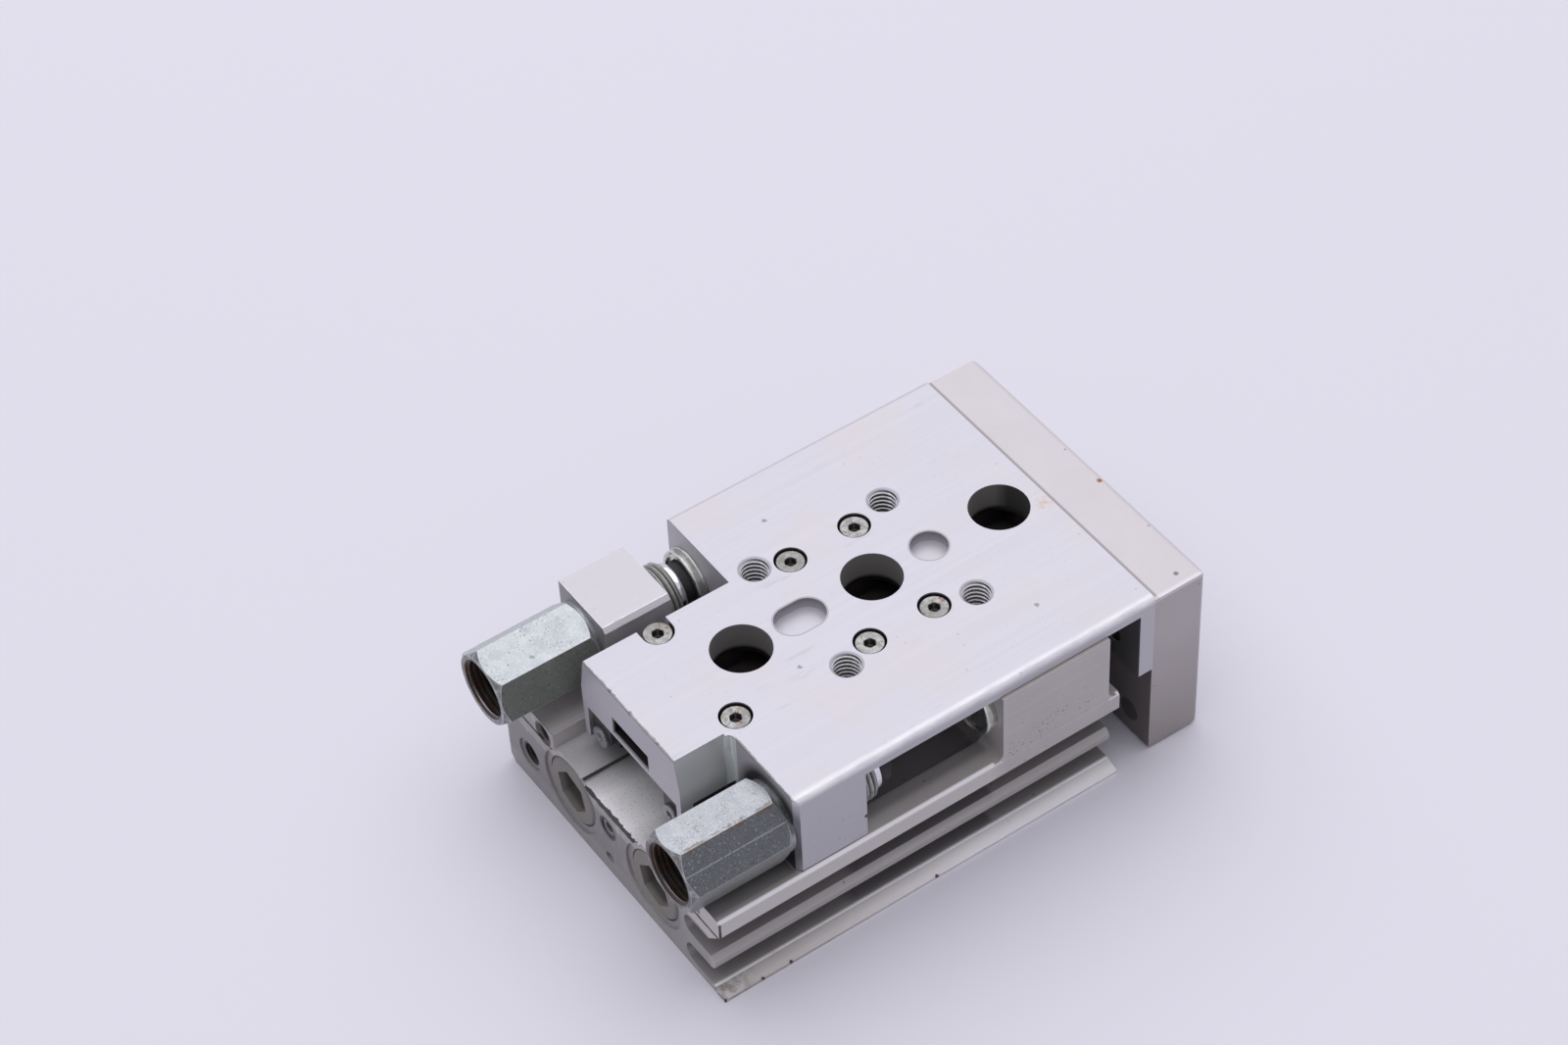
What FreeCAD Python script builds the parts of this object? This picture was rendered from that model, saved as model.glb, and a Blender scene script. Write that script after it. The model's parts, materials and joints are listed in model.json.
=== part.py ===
import FreeCAD, Part
import math
import os

# Twin-bore guided mini slide with a retract stop and an extend stop.
# X runs along the stroke towards the yoke, Y to the far side, Z up.
# The origin is on the underside, below the middle access hole.

V = FreeCAD.Vector

# Housing profile and length
HOUSE_REAR = -57.5
HOUSE_FRONT = 28.6
HOUSE_HALF = 34.6
WALL_TOP = 22.2
FLOOR_TOP = 18.5
CHANNEL_TOP = 17.5
CHANNEL_HALF = 9.0
FAR_WALL = 17.0
NEAR_WALL = 6.1
WALL_BEVEL = 0.7
BASE_BEVEL = 1.5
LIP_BOTTOM = 18.2

# Sensor slots in the near side
SLOT_HIGH = 4.6
SLOT_LOW_Z = 4.1
SLOT_UP_Z = 11.9
SLOT_DEEP = 11.6
STRIP_STEP = 3.0
STRIP_EDGE = 1.1
FIN_STEP = 2.5
FIN_EDGE = 0.9
FIN_TOP_EDGE = 1.1

# Raised block that carries the extend stop button
BLOCK_X0 = 2.8
BLOCK_X1 = 26.1
BLOCK_WIDE = 15.2
WING_CLEAR = 0.25
BLOCK_FILLET = 1.8

# Cylinder bores, plugs, bushes and rods
BORE_Y = 13.2
BORE_Z = 10.7
BORE_R = 6.0
SEAT_R = 7.0
PLUG_LONG = 6.0
PLUG_SINK = 0.15
PLUG_EDGE = 0.5
PLUG_SEAL_BACK = 2.4
PLUG_FACE_STEP = 1.6
PLUG_FACE_DEEP = 0.5
PLUG_HEX = 8.0
PLUG_HEX_DEEP = 3.6
PLUG_TILT = 17.0
BUSH_LONG = 7.0
RING_SEAT = 1.0
RING_GROOVE = 0.4
RING_WIDE = 2.2
RING_GAP = 2.2
ROD_SEAL_LONG = 1.6
ROD_SEAL_THICK = 1.5
ROD_R = 3.0
ROD_FIT = 0.04
SEAT_FIT = 0.03
PISTON_FIT = 0.06
PISTON_LONG = 9.0
PISTON_REAR = -48.5
PISTON_LAND = 1.5
PISTON_SEAL = 1.5
MAGNET_LONG = 2.5
MAGNET_THICK = 1.2
MAGNET_DROP = 0.2
ROD_SEAT = 5.0
SEAL_SIZE = 1.0

# Air passages and rear face details
PORT_INSET = 7.2
PORT_Z = 7.7
PORT_R = 2.1
PORT_FACE_R = 3.4
PORT_FACE_DEEP = 0.5
PORT_DEEP = 10.5
SIDE_PORT_X = 12.0
SIDE_PORT_DEEP = 8.0
CROSS_REAR_X = -49.6
CROSS_Z = 9.2
CROSS_R = 1.3
PASS_PLUG_R = 1.6
PASS_PLUG_LONG = 4.0
PASS_PLUG_SINK = 0.4
FLANGE_HOLE_Y = 21.2
FLANGE_HOLE_Z = 19.3
FLANGE_HOLE_R = 1.65
FLANGE_HOLE_DEEP = 8.0
MOUTH_BEVEL = 0.6
REAR_SET_Y = 1.0
REAR_SET_Z = 12.7
REAR_SET_R = 2.0
REAR_SET_LONG = 6.2
REAR_SET_SINK = 0.3
REAR_SET_HEX = 2.0
REAR_SET_DEEP = 7.0
REAR_PIN_Y = 1.3
REAR_PIN_Z = 4.1
REAR_PIN_R = 1.25
REAR_PIN_DEEP = 4.0

# Mounting threads in the underside
BASE_X0 = -20.0
BASE_PITCH = 40.0
BASE_R = 2.1
BASE_DEEP = 7.0

# Guide rail and carriage
RAIL_X0 = -46.0
RAIL_X1 = 27.0
RAIL_HALF = 7.5
RAIL_TOP = 27.0
RAIL_SCREW_X0 = -38.0
RAIL_SCREW_STEP = 19.0
RACE_Z = 24.2
BALL_R = 1.2
BALL_FIT = 0.05
BALL_STEP = 9.0
BALLS = 8
CAR_X0 = -49.3
CAR_X1 = 33.0
CAR_HALF = 15.4
CAR_BOTTOM = 21.7
CAR_TOP = 29.5
RAIL_SIDE_CLEAR = 0.8
RAIL_TOP_CLEAR = 0.7
CAR_THREAD_DEEP = 6.2
CAP_LONG = 1.7
CAP_SIDE_STEP = 1.6
CAP_TOP_STEP = 0.1
CAP_LOW_STEP = 0.2
CAP_ROUND = 2.6
CAP_BAR = 0.8
CAP_SCREW_DEEP = 5.0
CAP_HEAD = 0.7
CAP_HEAD_R = 2.1
CAP_HEX = 1.6
CAP_HEX_DEEP = 1.2
CAP_SCREW_Y = 11.0
CAP_SCREW_Z = 23.8

# Slide table
SIDE_CLEAR = 0.7
TABLE_FRONT = 36.6
TONGUE_REAR = -51.8
TONGUE_TOP_HALF = 14.1
TONGUE_SLOPE_Z = 34.0
NOTCH_X = -20.9
LUG_REAR = -40.45
LUG_FRONT = -25.9
FAR_LUG_FRONT = -11.0
LUG_CLEAR = 0.3
WING_THICK = 3.0
WING_GAP = 0.65
CORE_CLEAR = 0.8
FLANGE_THICK = 3.2
CAP_CLEAR = 0.8
CAP_FIT = 0.1
TABLE_ROUND = 1.2
CORNER_CUT = 0.9
WEB_R = 1.0
TUNNEL_HALF = 5.65
TUNNEL_LOW = 30.4
TUNNEL_HIGH = 34.5
PITCH = 28.0
ACCESS_R = 5.65
THREAD_X = -1.5
THREAD_R = 2.45
THREAD_MOUTH_R = 3.1
THREAD_MOUTH = 0.6
THREAD_DEEP = 9.0
DOWEL_X = 12.5
DOWEL_R = 3.5
DOWEL_DEEP = 2.4
SLOT_LONG = 10.0
CAR_SCREW_Y = 12.0
CAR_SCREW_REAR = -37.45
CAR_SCREW_MID = -9.15
CAR_SCREW_FRONT = 4.75
SINK_R = 3.05
SINK_DEEP = 3.4
RELIEF_HALF = 3.05

# Yoke
YOKE_THICK = 11.7
YOKE_INSET = 0.25
YOKE_BOTTOM = 0.7
YOKE_DROP = 0.95
YOKE_ROUND = 1.5
YOKE_SCREW_Y = 14.0
YOKE_SCREW_DROP = 6.25
YOKE_SINK_R = 3.8
YOKE_SINK_DEEP = 4.6
YOKE_SCREW_DEEP = 9.0
YOKE_SCREW_GRIP = 8.5
ROD_SCREW_DEEP = 10.0
ROD_SCREW_GRIP = 9.0
YOKE_DOWEL_DEEP = 6.0
YOKE_DOWEL_SINK = 0.2
YOKE_DOWEL_INSET = 7.4
YOKE_DOWEL_Z = 28.0
YOKE_DOWEL_R = 2.0

# End stops
FAR_STOP_INSET = 7.6
NEAR_STOP_INSET = 7.8
STOP_RISE = 9.0
STOP_BLOCK_X0 = -43.8
STOP_BLOCK_X1 = -29.9
STOP_BLOCK_WIDE = 15.2
STOP_BLOCK_RISE = 7.8
STOP_BLOCK_EDGE = 0.9
BLOCK_SCREW_HALF = 3.9
BLOCK_SCREW_SINK = 0.4
BLOCK_SCREW_SHORT = 0.2
BLOCK_THREAD_WALL = 0.3
STOP_R = 6.0
STOP_PITCH = 1.0
STOP_TOOTH = 0.5
STOP_FIT = 0.05
STOP_BORE_R = 4.0
SLEEVE_LONG = 30.0
SLEEVE_HEX = 4.0
SLEEVE_HEX_REAR = 3.0
SLEEVE_HEX_DEEP = 3.5
SLEEVE_PLUG = 4.0
FAR_THREAD_LONG = 5.0
NEAR_THREAD_LONG = 6.0
HOLDER_R = 5.0
HOLDER_LONG = 1.3
HOLDER_STEM_R = 2.4
HOLDER_STEM = 9.0
HOLDER_BOSS = 1.2
BUMPER_R = 4.5
BUMPER_BACK_R = 3.9
BUMPER_LONG = 2.35
BUTTON_R = 6.2
BUTTON_RIM_R = 6.4
BUTTON_RIM = 0.5
BUTTON_EDGE = 0.3
CUP_R = 5.2
CUP_DEEP = 0.6
BUTTON_STEM_R = 2.5
BUTTON_STEM = 6.0
FAR_BUTTON_LONG = 2.1
NEAR_BUTTON_LONG = 2.1
TOUCH = 0.05
STROKE = 20.0
NUT_HEX = 14.0
NUT_LONG = 20.7
NUT_BEVEL = 1.1
NUT_FACE_R = 6.9
NUT_MOUTH_R = 5.5
NUT_MOUTH_LONG = 5.0
NUT_COLLAR = 0.8
NUT_COLLAR_R = 6.9
FAR_NUT_TILT = 15.0
NEAR_NUT_TILT = -8.0

# Screws
M3_HEAD_R = 2.65
M3_HEAD = 3.0
M3_R = 1.5
M3_CORE_R = 1.25
M3_HEX = 2.0
M4_HEAD_R = 3.5
M4_HEAD = 4.0
M4_R = 2.0
M4_CORE_R = 1.65
M4_HEX = 3.0
HEAD_DROP = 1.0
HEAD_CLEAR = 0.25
SHANK_CLEAR = 0.1
SOCKET_SHARE = 0.55
RAIL_SCREW_GRIP = 5.5
RAIL_THREAD_DEEP = 6.0
CAR_SCREW_GRIP = 6.0

# Places that follow from the sizes above
FAR_WALL_IN = HOUSE_HALF - FAR_WALL
NEAR_WALL_IN = NEAR_WALL - HOUSE_HALF
BLOCK_IN = BLOCK_WIDE - HOUSE_HALF
STOP_BLOCK_IN = HOUSE_HALF - STOP_BLOCK_WIDE
FAR_STOP_Y = HOUSE_HALF - FAR_STOP_INSET
NEAR_STOP_Y = NEAR_STOP_INSET - HOUSE_HALF
PORT_Y = HOUSE_HALF - PORT_INSET
TABLE_HALF = HOUSE_HALF - SIDE_CLEAR
CORE_HALF = HOUSE_HALF - BLOCK_WIDE - CORE_CLEAR
LUG_BOTTOM = WALL_TOP + LUG_CLEAR
STOP_Z = WALL_TOP + STOP_RISE
STOP_BLOCK_TOP = STOP_Z + STOP_BLOCK_RISE
PLATE_UNDER = STOP_Z + BUTTON_RIM_R + WING_GAP
TABLE_TOP = PLATE_UNDER + WING_THICK
BLOCK_TOP = PLATE_UNDER - WING_CLEAR
YOKE_HALF = TABLE_HALF - YOKE_INSET
YOKE_TOP = TABLE_TOP - YOKE_DROP
YOKE_SCREW_Z = TABLE_TOP - YOKE_SCREW_DROP
YOKE_FRONT = TABLE_FRONT + YOKE_THICK
YOKE_DOWEL_Y = TABLE_HALF - YOKE_DOWEL_INSET
PLUG_FACE_R = SEAT_R + PLUG_FACE_STEP
RING_GROOVE_R = SEAT_R + RING_GROOVE
CAR_IN = RAIL_HALF + RAIL_SIDE_CLEAR
CAR_ROOF = RAIL_TOP + RAIL_TOP_CLEAR
BALL_OUT = RAIL_HALF + RAIL_SIDE_CLEAR / 2
CAP_HALF = CAR_HALF - CAP_SIDE_STEP
CAP_TOP = CAR_TOP - CAP_TOP_STEP


def box(x0, x1, y0, y1, z0, z1):
    return Part.makeBox(x1 - x0, y1 - y0, z1 - z0, V(x0, y0, z0))


def rod_x(x0, x1, y, z, r):
    return Part.makeCylinder(r, x1 - x0, V(x0, y, z), V(1, 0, 0))


def rod_y(y0, y1, x, z, r):
    return Part.makeCylinder(r, y1 - y0, V(x, y0, z), V(0, 1, 0))


def rod_z(z0, z1, x, y, r):
    return Part.makeCylinder(r, z1 - z0, V(x, y, z0), V(0, 0, 1))


def cone_x(x0, x1, y, z, r0, r1):
    return Part.makeCone(r0, r1, x1 - x0, V(x0, y, z), V(1, 0, 0))


def prism_x(points, x0, x1):
    # A closed outline of (y, z) points, drawn out from x0 to x1.
    ring = [V(x0, y, z) for y, z in points]
    ring.append(ring[0])
    face = Part.Face(Part.makePolygon(ring))
    return face.extrude(V(x1 - x0, 0, 0))


def hex_x(x0, x1, y, z, across, tilt):
    corner = across / math.sqrt(3)
    points = []
    for step in range(6):
        turn = math.radians(60 * step + 30 + tilt)
        points.append((y - corner * math.sin(turn), z + corner * math.cos(turn)))
    return prism_x(points, x0, x1)


def turned_x(profile, y, z):
    # Revolves (x, radius) points about the line through y, z along X.
    ring = [V(x, y, z + r) for x, r in profile]
    ring.append(ring[0])
    face = Part.Face(Part.makePolygon(ring))
    return face.revolve(V(0, y, z), V(1, 0, 0), 360)


def cap_screw(head_r, head, shank_r, shank, hex_size):
    # Stands on Z with the top of its head at zero, pointing down.
    body = Part.makeCylinder(head_r, head, V(0, 0, -head))
    body = body.fuse(Part.makeCylinder(shank_r, shank, V(0, 0, -head - shank)))
    corner = hex_size / math.sqrt(3)
    points = []
    for step in range(7):
        turn = math.radians(60 * step)
        points.append(V(corner * math.cos(turn), corner * math.sin(turn), -head * SOCKET_SHARE))
    socket = Part.Face(Part.makePolygon(points)).extrude(V(0, 0, head))
    return body.cut(socket)


def aimed(shape, x, y, z, direction):
    # Turns a shape that stands on +Z to a new direction and moves it.
    copy = shape.copy()
    turn = FreeCAD.Rotation(V(0, 0, 1), V(*direction))
    copy.Placement = FreeCAD.Placement(V(x, y, z), turn)
    return copy


def edges_at(shape, test):
    found = []
    for edge in shape.Edges:
        mid = edge.valueAt((edge.FirstParameter + edge.LastParameter) / 2)
        if test(mid, edge):
            found.append(edge)
    return found


def near(a, b):
    return abs(a - b) < 0.01


def save(name, shapes):
    if not isinstance(shapes, list):
        shapes = [shapes]
    solids = []
    for shape in shapes:
        solids.extend(shape.removeSplitter().Solids)
    for solid in solids:
        if not solid.isValid():
            print("not valid:", name)
    whole = solids[0] if len(solids) == 1 else Part.makeCompound(solids)
    whole.exportStep("parts/" + name + ".step")
    size = whole.BoundBox
    print(name, len(solids), "x %.2f %.2f y %.2f %.2f z %.2f %.2f" % (
        size.XMin, size.XMax, size.YMin, size.YMax, size.ZMin, size.ZMax))


def housing_outline():
    low = SLOT_LOW_Z - SLOT_HIGH / 2
    fin_low = SLOT_LOW_Z + SLOT_HIGH / 2
    fin_high = SLOT_UP_Z - SLOT_HIGH / 2
    high = SLOT_UP_Z + SLOT_HIGH / 2
    lip_in = LIP_BOTTOM - high - HOUSE_HALF
    fin_face = FIN_STEP - HOUSE_HALF
    return [
        (-HOUSE_HALF, 0),
        (-HOUSE_HALF, low - STRIP_EDGE),
        (STRIP_STEP - HOUSE_HALF, low),
        (fin_face + FIN_EDGE, fin_low),
        (fin_face, fin_low + FIN_EDGE),
        (fin_face, fin_high - FIN_TOP_EDGE),
        (fin_face + FIN_TOP_EDGE, fin_high),
        (lip_in, high),
        (-HOUSE_HALF, LIP_BOTTOM),
        (-HOUSE_HALF, WALL_TOP - WALL_BEVEL),
        (-HOUSE_HALF + WALL_BEVEL, WALL_TOP),
        (NEAR_WALL_IN, WALL_TOP),
        (NEAR_WALL_IN, FLOOR_TOP),
        (-CHANNEL_HALF, FLOOR_TOP),
        (-CHANNEL_HALF, CHANNEL_TOP),
        (CHANNEL_HALF, CHANNEL_TOP),
        (CHANNEL_HALF, FLOOR_TOP),
        (FAR_WALL_IN, FLOOR_TOP),
        (FAR_WALL_IN, WALL_TOP),
        (HOUSE_HALF - WALL_BEVEL, WALL_TOP),
        (HOUSE_HALF, WALL_TOP - WALL_BEVEL),
        (HOUSE_HALF, BASE_BEVEL),
        (HOUSE_HALF - BASE_BEVEL, 0),
    ]


def block_fillet(x, way):
    # Fills the inside corner between the raised block and the wall top.
    x0 = min(x, x + way * BLOCK_FILLET)
    blank = box(x0, x0 + BLOCK_FILLET, -HOUSE_HALF, NEAR_WALL_IN, WALL_TOP, WALL_TOP + BLOCK_FILLET)
    hollow = rod_y(-HOUSE_HALF, NEAR_WALL_IN, x + way * BLOCK_FILLET, WALL_TOP + BLOCK_FILLET, BLOCK_FILLET)
    return blank.cut(hollow)


def make_housing():
    body = prism_x(housing_outline(), HOUSE_REAR, HOUSE_FRONT)
    r = SLOT_HIGH / 2
    slot_end = SLOT_DEEP - HOUSE_HALF - r
    for z in (SLOT_LOW_Z, SLOT_UP_Z):
        body = body.cut(box(HOUSE_REAR, HOUSE_FRONT, -HOUSE_HALF, slot_end, z - r, z + r))
        body = body.cut(rod_x(HOUSE_REAR, HOUSE_FRONT, slot_end, z, r))
    body = body.fuse(box(BLOCK_X0, BLOCK_X1, -HOUSE_HALF, BLOCK_IN, FLOOR_TOP, BLOCK_TOP))
    body = body.fuse(block_fillet(BLOCK_X1, 1))
    body = body.fuse(block_fillet(BLOCK_X0, -1))
    cuts = []
    for side in (1, -1):
        y = side * BORE_Y
        cuts.append(rod_x(HOUSE_REAR, HOUSE_FRONT, y, BORE_Z, BORE_R))
        cuts.append(rod_x(HOUSE_REAR, HOUSE_REAR + PLUG_LONG, y, BORE_Z, SEAT_R))
        cuts.append(rod_x(HOUSE_REAR, HOUSE_REAR + PLUG_FACE_DEEP, y, BORE_Z, PLUG_FACE_R))
        seat = BUSH_LONG + 2 * RING_SEAT
        cuts.append(rod_x(HOUSE_FRONT - seat, HOUSE_FRONT, y, BORE_Z, SEAT_R))
        groove = HOUSE_FRONT - 2 * RING_SEAT
        cuts.append(rod_x(groove, groove + RING_SEAT, y, BORE_Z, RING_GROOVE_R))
    cuts.append(rod_x(HOUSE_REAR, HOUSE_REAR + PORT_DEEP, PORT_Y, PORT_Z, PORT_R))
    cuts.append(rod_x(HOUSE_REAR, HOUSE_REAR + PORT_FACE_DEEP, PORT_Y, PORT_Z, PORT_FACE_R))
    cuts.append(rod_y(-BORE_Y, HOUSE_HALF, CROSS_REAR_X, CROSS_Z, CROSS_R))
    cuts.append(rod_y(HOUSE_HALF - PASS_PLUG_LONG, HOUSE_HALF, CROSS_REAR_X, CROSS_Z, PASS_PLUG_R))
    cuts.append(rod_y(-BORE_Y, HOUSE_HALF, SIDE_PORT_X, CROSS_Z, CROSS_R))
    cuts.append(rod_y(HOUSE_HALF - SIDE_PORT_DEEP, HOUSE_HALF, SIDE_PORT_X, CROSS_Z, PORT_R))
    cuts.append(rod_y(HOUSE_HALF - PORT_FACE_DEEP, HOUSE_HALF, SIDE_PORT_X, CROSS_Z, PORT_FACE_R))
    cuts.append(rod_x(HOUSE_REAR, HOUSE_REAR + FLANGE_HOLE_DEEP, FLANGE_HOLE_Y, FLANGE_HOLE_Z, FLANGE_HOLE_R))
    cuts.append(cone_x(HOUSE_REAR, HOUSE_REAR + MOUTH_BEVEL, FLANGE_HOLE_Y, FLANGE_HOLE_Z,
                       FLANGE_HOLE_R + MOUTH_BEVEL, FLANGE_HOLE_R))
    cuts.append(rod_x(HOUSE_REAR, HOUSE_REAR + REAR_SET_DEEP, REAR_SET_Y, REAR_SET_Z, REAR_SET_R))
    cuts.append(rod_x(HOUSE_REAR, HOUSE_REAR + REAR_PIN_DEEP, REAR_PIN_Y, REAR_PIN_Z, REAR_PIN_R))
    for x in (BASE_X0, BASE_X0 + BASE_PITCH):
        cuts.append(rod_z(0, BASE_DEEP, x, 0, BASE_R))
    for x in rail_screw_places():
        cuts.append(rod_z(CHANNEL_TOP - RAIL_THREAD_DEEP, CHANNEL_TOP, x, 0, M3_R))
    for x in block_screw_places():
        cuts.append(rod_z(0, WALL_TOP, x, FAR_STOP_Y, M4_R))
        cuts.append(rod_z(0, M4_HEAD + BLOCK_SCREW_SINK, x, FAR_STOP_Y, M4_HEAD_R + HEAD_CLEAR))
    cuts.append(rod_x(BLOCK_X0, BLOCK_X0 + BUTTON_STEM, NEAR_STOP_Y, STOP_Z, BUTTON_STEM_R))
    for cut in cuts:
        body = body.cut(cut)
    save("housing", body)


def rail_screw_places():
    return [RAIL_SCREW_X0 + step * RAIL_SCREW_STEP for step in range(4)]


def block_screw_places():
    middle = (STOP_BLOCK_X0 + STOP_BLOCK_X1) / 2
    return (middle - BLOCK_SCREW_HALF, middle + BLOCK_SCREW_HALF)


def make_bore_parts():
    plugs = []
    rings = []
    bushes = []
    seals = []
    clips = []
    for side in (1, -1):
        y = side * BORE_Y
        r = SEAT_R - SEAT_FIT
        x0 = HOUSE_REAR + PLUG_SINK
        x1 = HOUSE_REAR + PLUG_LONG
        g0 = x1 - PLUG_SEAL_BACK
        g1 = g0 + SEAL_SIZE
        groove_r = r - SEAL_SIZE
        plug = turned_x([(x0, 0), (x0, r - PLUG_EDGE), (x0 + PLUG_EDGE, r), (g0, r), (g0, groove_r),
                         (g1, groove_r), (g1, r), (x1, r), (x1, 0)], y, BORE_Z)
        plugs.append(plug.cut(hex_x(x0, x0 + PLUG_HEX_DEEP, y, BORE_Z, PLUG_HEX, PLUG_TILT)))
        rings.append(turned_x([(g0, groove_r), (g0, SEAT_R), (g1, SEAT_R), (g1, groove_r)], y, BORE_Z))
        b1 = HOUSE_FRONT - 2 * RING_SEAT
        b0 = b1 - BUSH_LONG
        b2 = b1 + RING_SEAT
        s0 = b1 - ROD_SEAL_LONG
        hole = ROD_R + ROD_FIT
        lip = hole + ROD_SEAL_THICK
        bushes.append(turned_x([(b0, hole), (b0, r), (b1, r), (b1, lip), (s0, lip), (s0, hole)], y, BORE_Z))
        seals.append(turned_x([(s0, hole), (s0, lip), (b1, lip), (b1, hole)], y, BORE_Z))
        outer = RING_GROOVE_R - SEAT_FIT
        inner = outer - RING_WIDE
        clip = turned_x([(b1, inner), (b1, outer), (b2, outer), (b2, inner)], y, BORE_Z)
        clips.append(clip.cut(box(b1, b2, y - RING_GAP, y + RING_GAP, BORE_Z, BORE_Z + RING_GROOVE_R)))
    save("rear_plugs", plugs)
    save("plug_orings", rings)
    save("rod_bearings", bushes)
    save("rod_seals", seals)
    save("bearing_retaining_rings", clips)


def make_rear_details():
    x0 = HOUSE_REAR + REAR_SET_SINK
    screw = rod_x(x0, x0 + REAR_SET_LONG, REAR_SET_Y, REAR_SET_Z, REAR_SET_R - SEAT_FIT)
    screw = screw.cut(hex_x(x0, x0 + REAR_SET_HEX, REAR_SET_Y, REAR_SET_Z, REAR_SET_HEX, 0))
    save("rear_set_screw", screw)
    save("passage_plug", rod_y(HOUSE_HALF - PASS_PLUG_LONG, HOUSE_HALF - PASS_PLUG_SINK, CROSS_REAR_X, CROSS_Z,
                               PASS_PLUG_R - SEAT_FIT))


def make_rail():
    rail = box(RAIL_X0, RAIL_X1, -RAIL_HALF, RAIL_HALF, CHANNEL_TOP, RAIL_TOP)
    for side in (1, -1):
        rail = rail.cut(rod_x(RAIL_X0, RAIL_X1, side * BALL_OUT, RACE_Z, BALL_R + BALL_FIT))
    screws = []
    seat = RAIL_TOP - HEAD_DROP - M3_HEAD
    for x in rail_screw_places():
        rail = rail.cut(rod_z(seat, RAIL_TOP, x, 0, M3_HEAD_R + HEAD_CLEAR))
        rail = rail.cut(rod_z(CHANNEL_TOP, seat, x, 0, M3_R + SHANK_CLEAR))
        shank = seat - CHANNEL_TOP + RAIL_SCREW_GRIP
        screws.append(aimed(cap_screw(M3_HEAD_R, M3_HEAD, M3_R - SEAT_FIT, shank, M3_HEX),
                            x, 0, seat + M3_HEAD, (0, 0, 1)))
    save("guide_rail", rail)
    save("rail_screws", screws)


def make_carriage():
    body = box(CAR_X0, CAR_X1, -CAR_HALF, CAR_HALF, CAR_BOTTOM, CAR_TOP)
    body = body.cut(box(CAR_X0, CAR_X1, -CAR_IN, CAR_IN, CAR_BOTTOM, CAR_ROOF))
    for side in (1, -1):
        body = body.cut(rod_x(CAR_X0, CAR_X1, side * BALL_OUT, RACE_Z, BALL_R + BALL_FIT))
        for x in (CAR_SCREW_REAR, CAR_SCREW_MID, CAR_SCREW_FRONT):
            body = body.cut(rod_z(CAR_TOP - CAR_THREAD_DEEP, CAR_TOP, x, side * CAR_SCREW_Y, M3_R))
        for x in (CAR_X0, CAR_X1 - CAP_SCREW_DEEP):
            body = body.cut(rod_x(x, x + CAP_SCREW_DEEP, side * CAP_SCREW_Y, CAP_SCREW_Z, M3_CORE_R))
    save("guide_carriage", body)

    def foot_edge(mid, edge):
        return near(mid.z, CAR_BOTTOM + CAP_LOW_STEP) and near(edge.Length, CAP_LONG)

    caps = []
    screws = []
    for x0, x1, way in ((CAR_X0 - CAP_LONG, CAR_X0, -1), (CAR_X1, CAR_X1 + CAP_LONG, 1)):
        cap = box(x0, x1, -CAP_HALF, CAP_HALF, CAR_BOTTOM + CAP_LOW_STEP, CAP_TOP)
        cap = cap.cut(box(x0, x1, -CAR_IN, CAR_IN, CAR_BOTTOM, CAP_TOP - CAP_BAR))
        cap = cap.makeFillet(min(CAP_ROUND, 0.47 * (CAP_HALF - CAR_IN)), edges_at(cap, foot_edge))
        for side in (1, -1):
            y = side * CAP_SCREW_Y
            cap = cap.cut(rod_x(x0, x1, y, CAP_SCREW_Z, M3_CORE_R))
            face = x0 if way < 0 else x1
            head = min(face, face + way * CAP_HEAD)
            screw = rod_x(head, head + CAP_HEAD, y, CAP_SCREW_Z, CAP_HEAD_R)
            shank = min(face, face - way * CAP_SCREW_DEEP)
            screw = screw.fuse(rod_x(shank, shank + CAP_SCREW_DEEP, y, CAP_SCREW_Z, M3_CORE_R - SEAT_FIT))
            top = face + way * CAP_HEAD
            socket = min(top, top - way * CAP_HEX_DEEP)
            screws.append(screw.cut(hex_x(socket, socket + CAP_HEX_DEEP, y, CAP_SCREW_Z, CAP_HEX, 0)))
        caps.append(cap)
    save("carriage_end_caps", caps)
    save("end_cap_screws", screws)
    balls = []
    start = (CAR_X0 + CAR_X1) / 2 - BALL_STEP * (BALLS - 1) / 2
    for side in (1, -1):
        for step in range(BALLS):
            balls.append(Part.makeSphere(BALL_R, V(start + step * BALL_STEP, side * BALL_OUT, RACE_Z)))
    save("guide_balls", balls)


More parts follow.
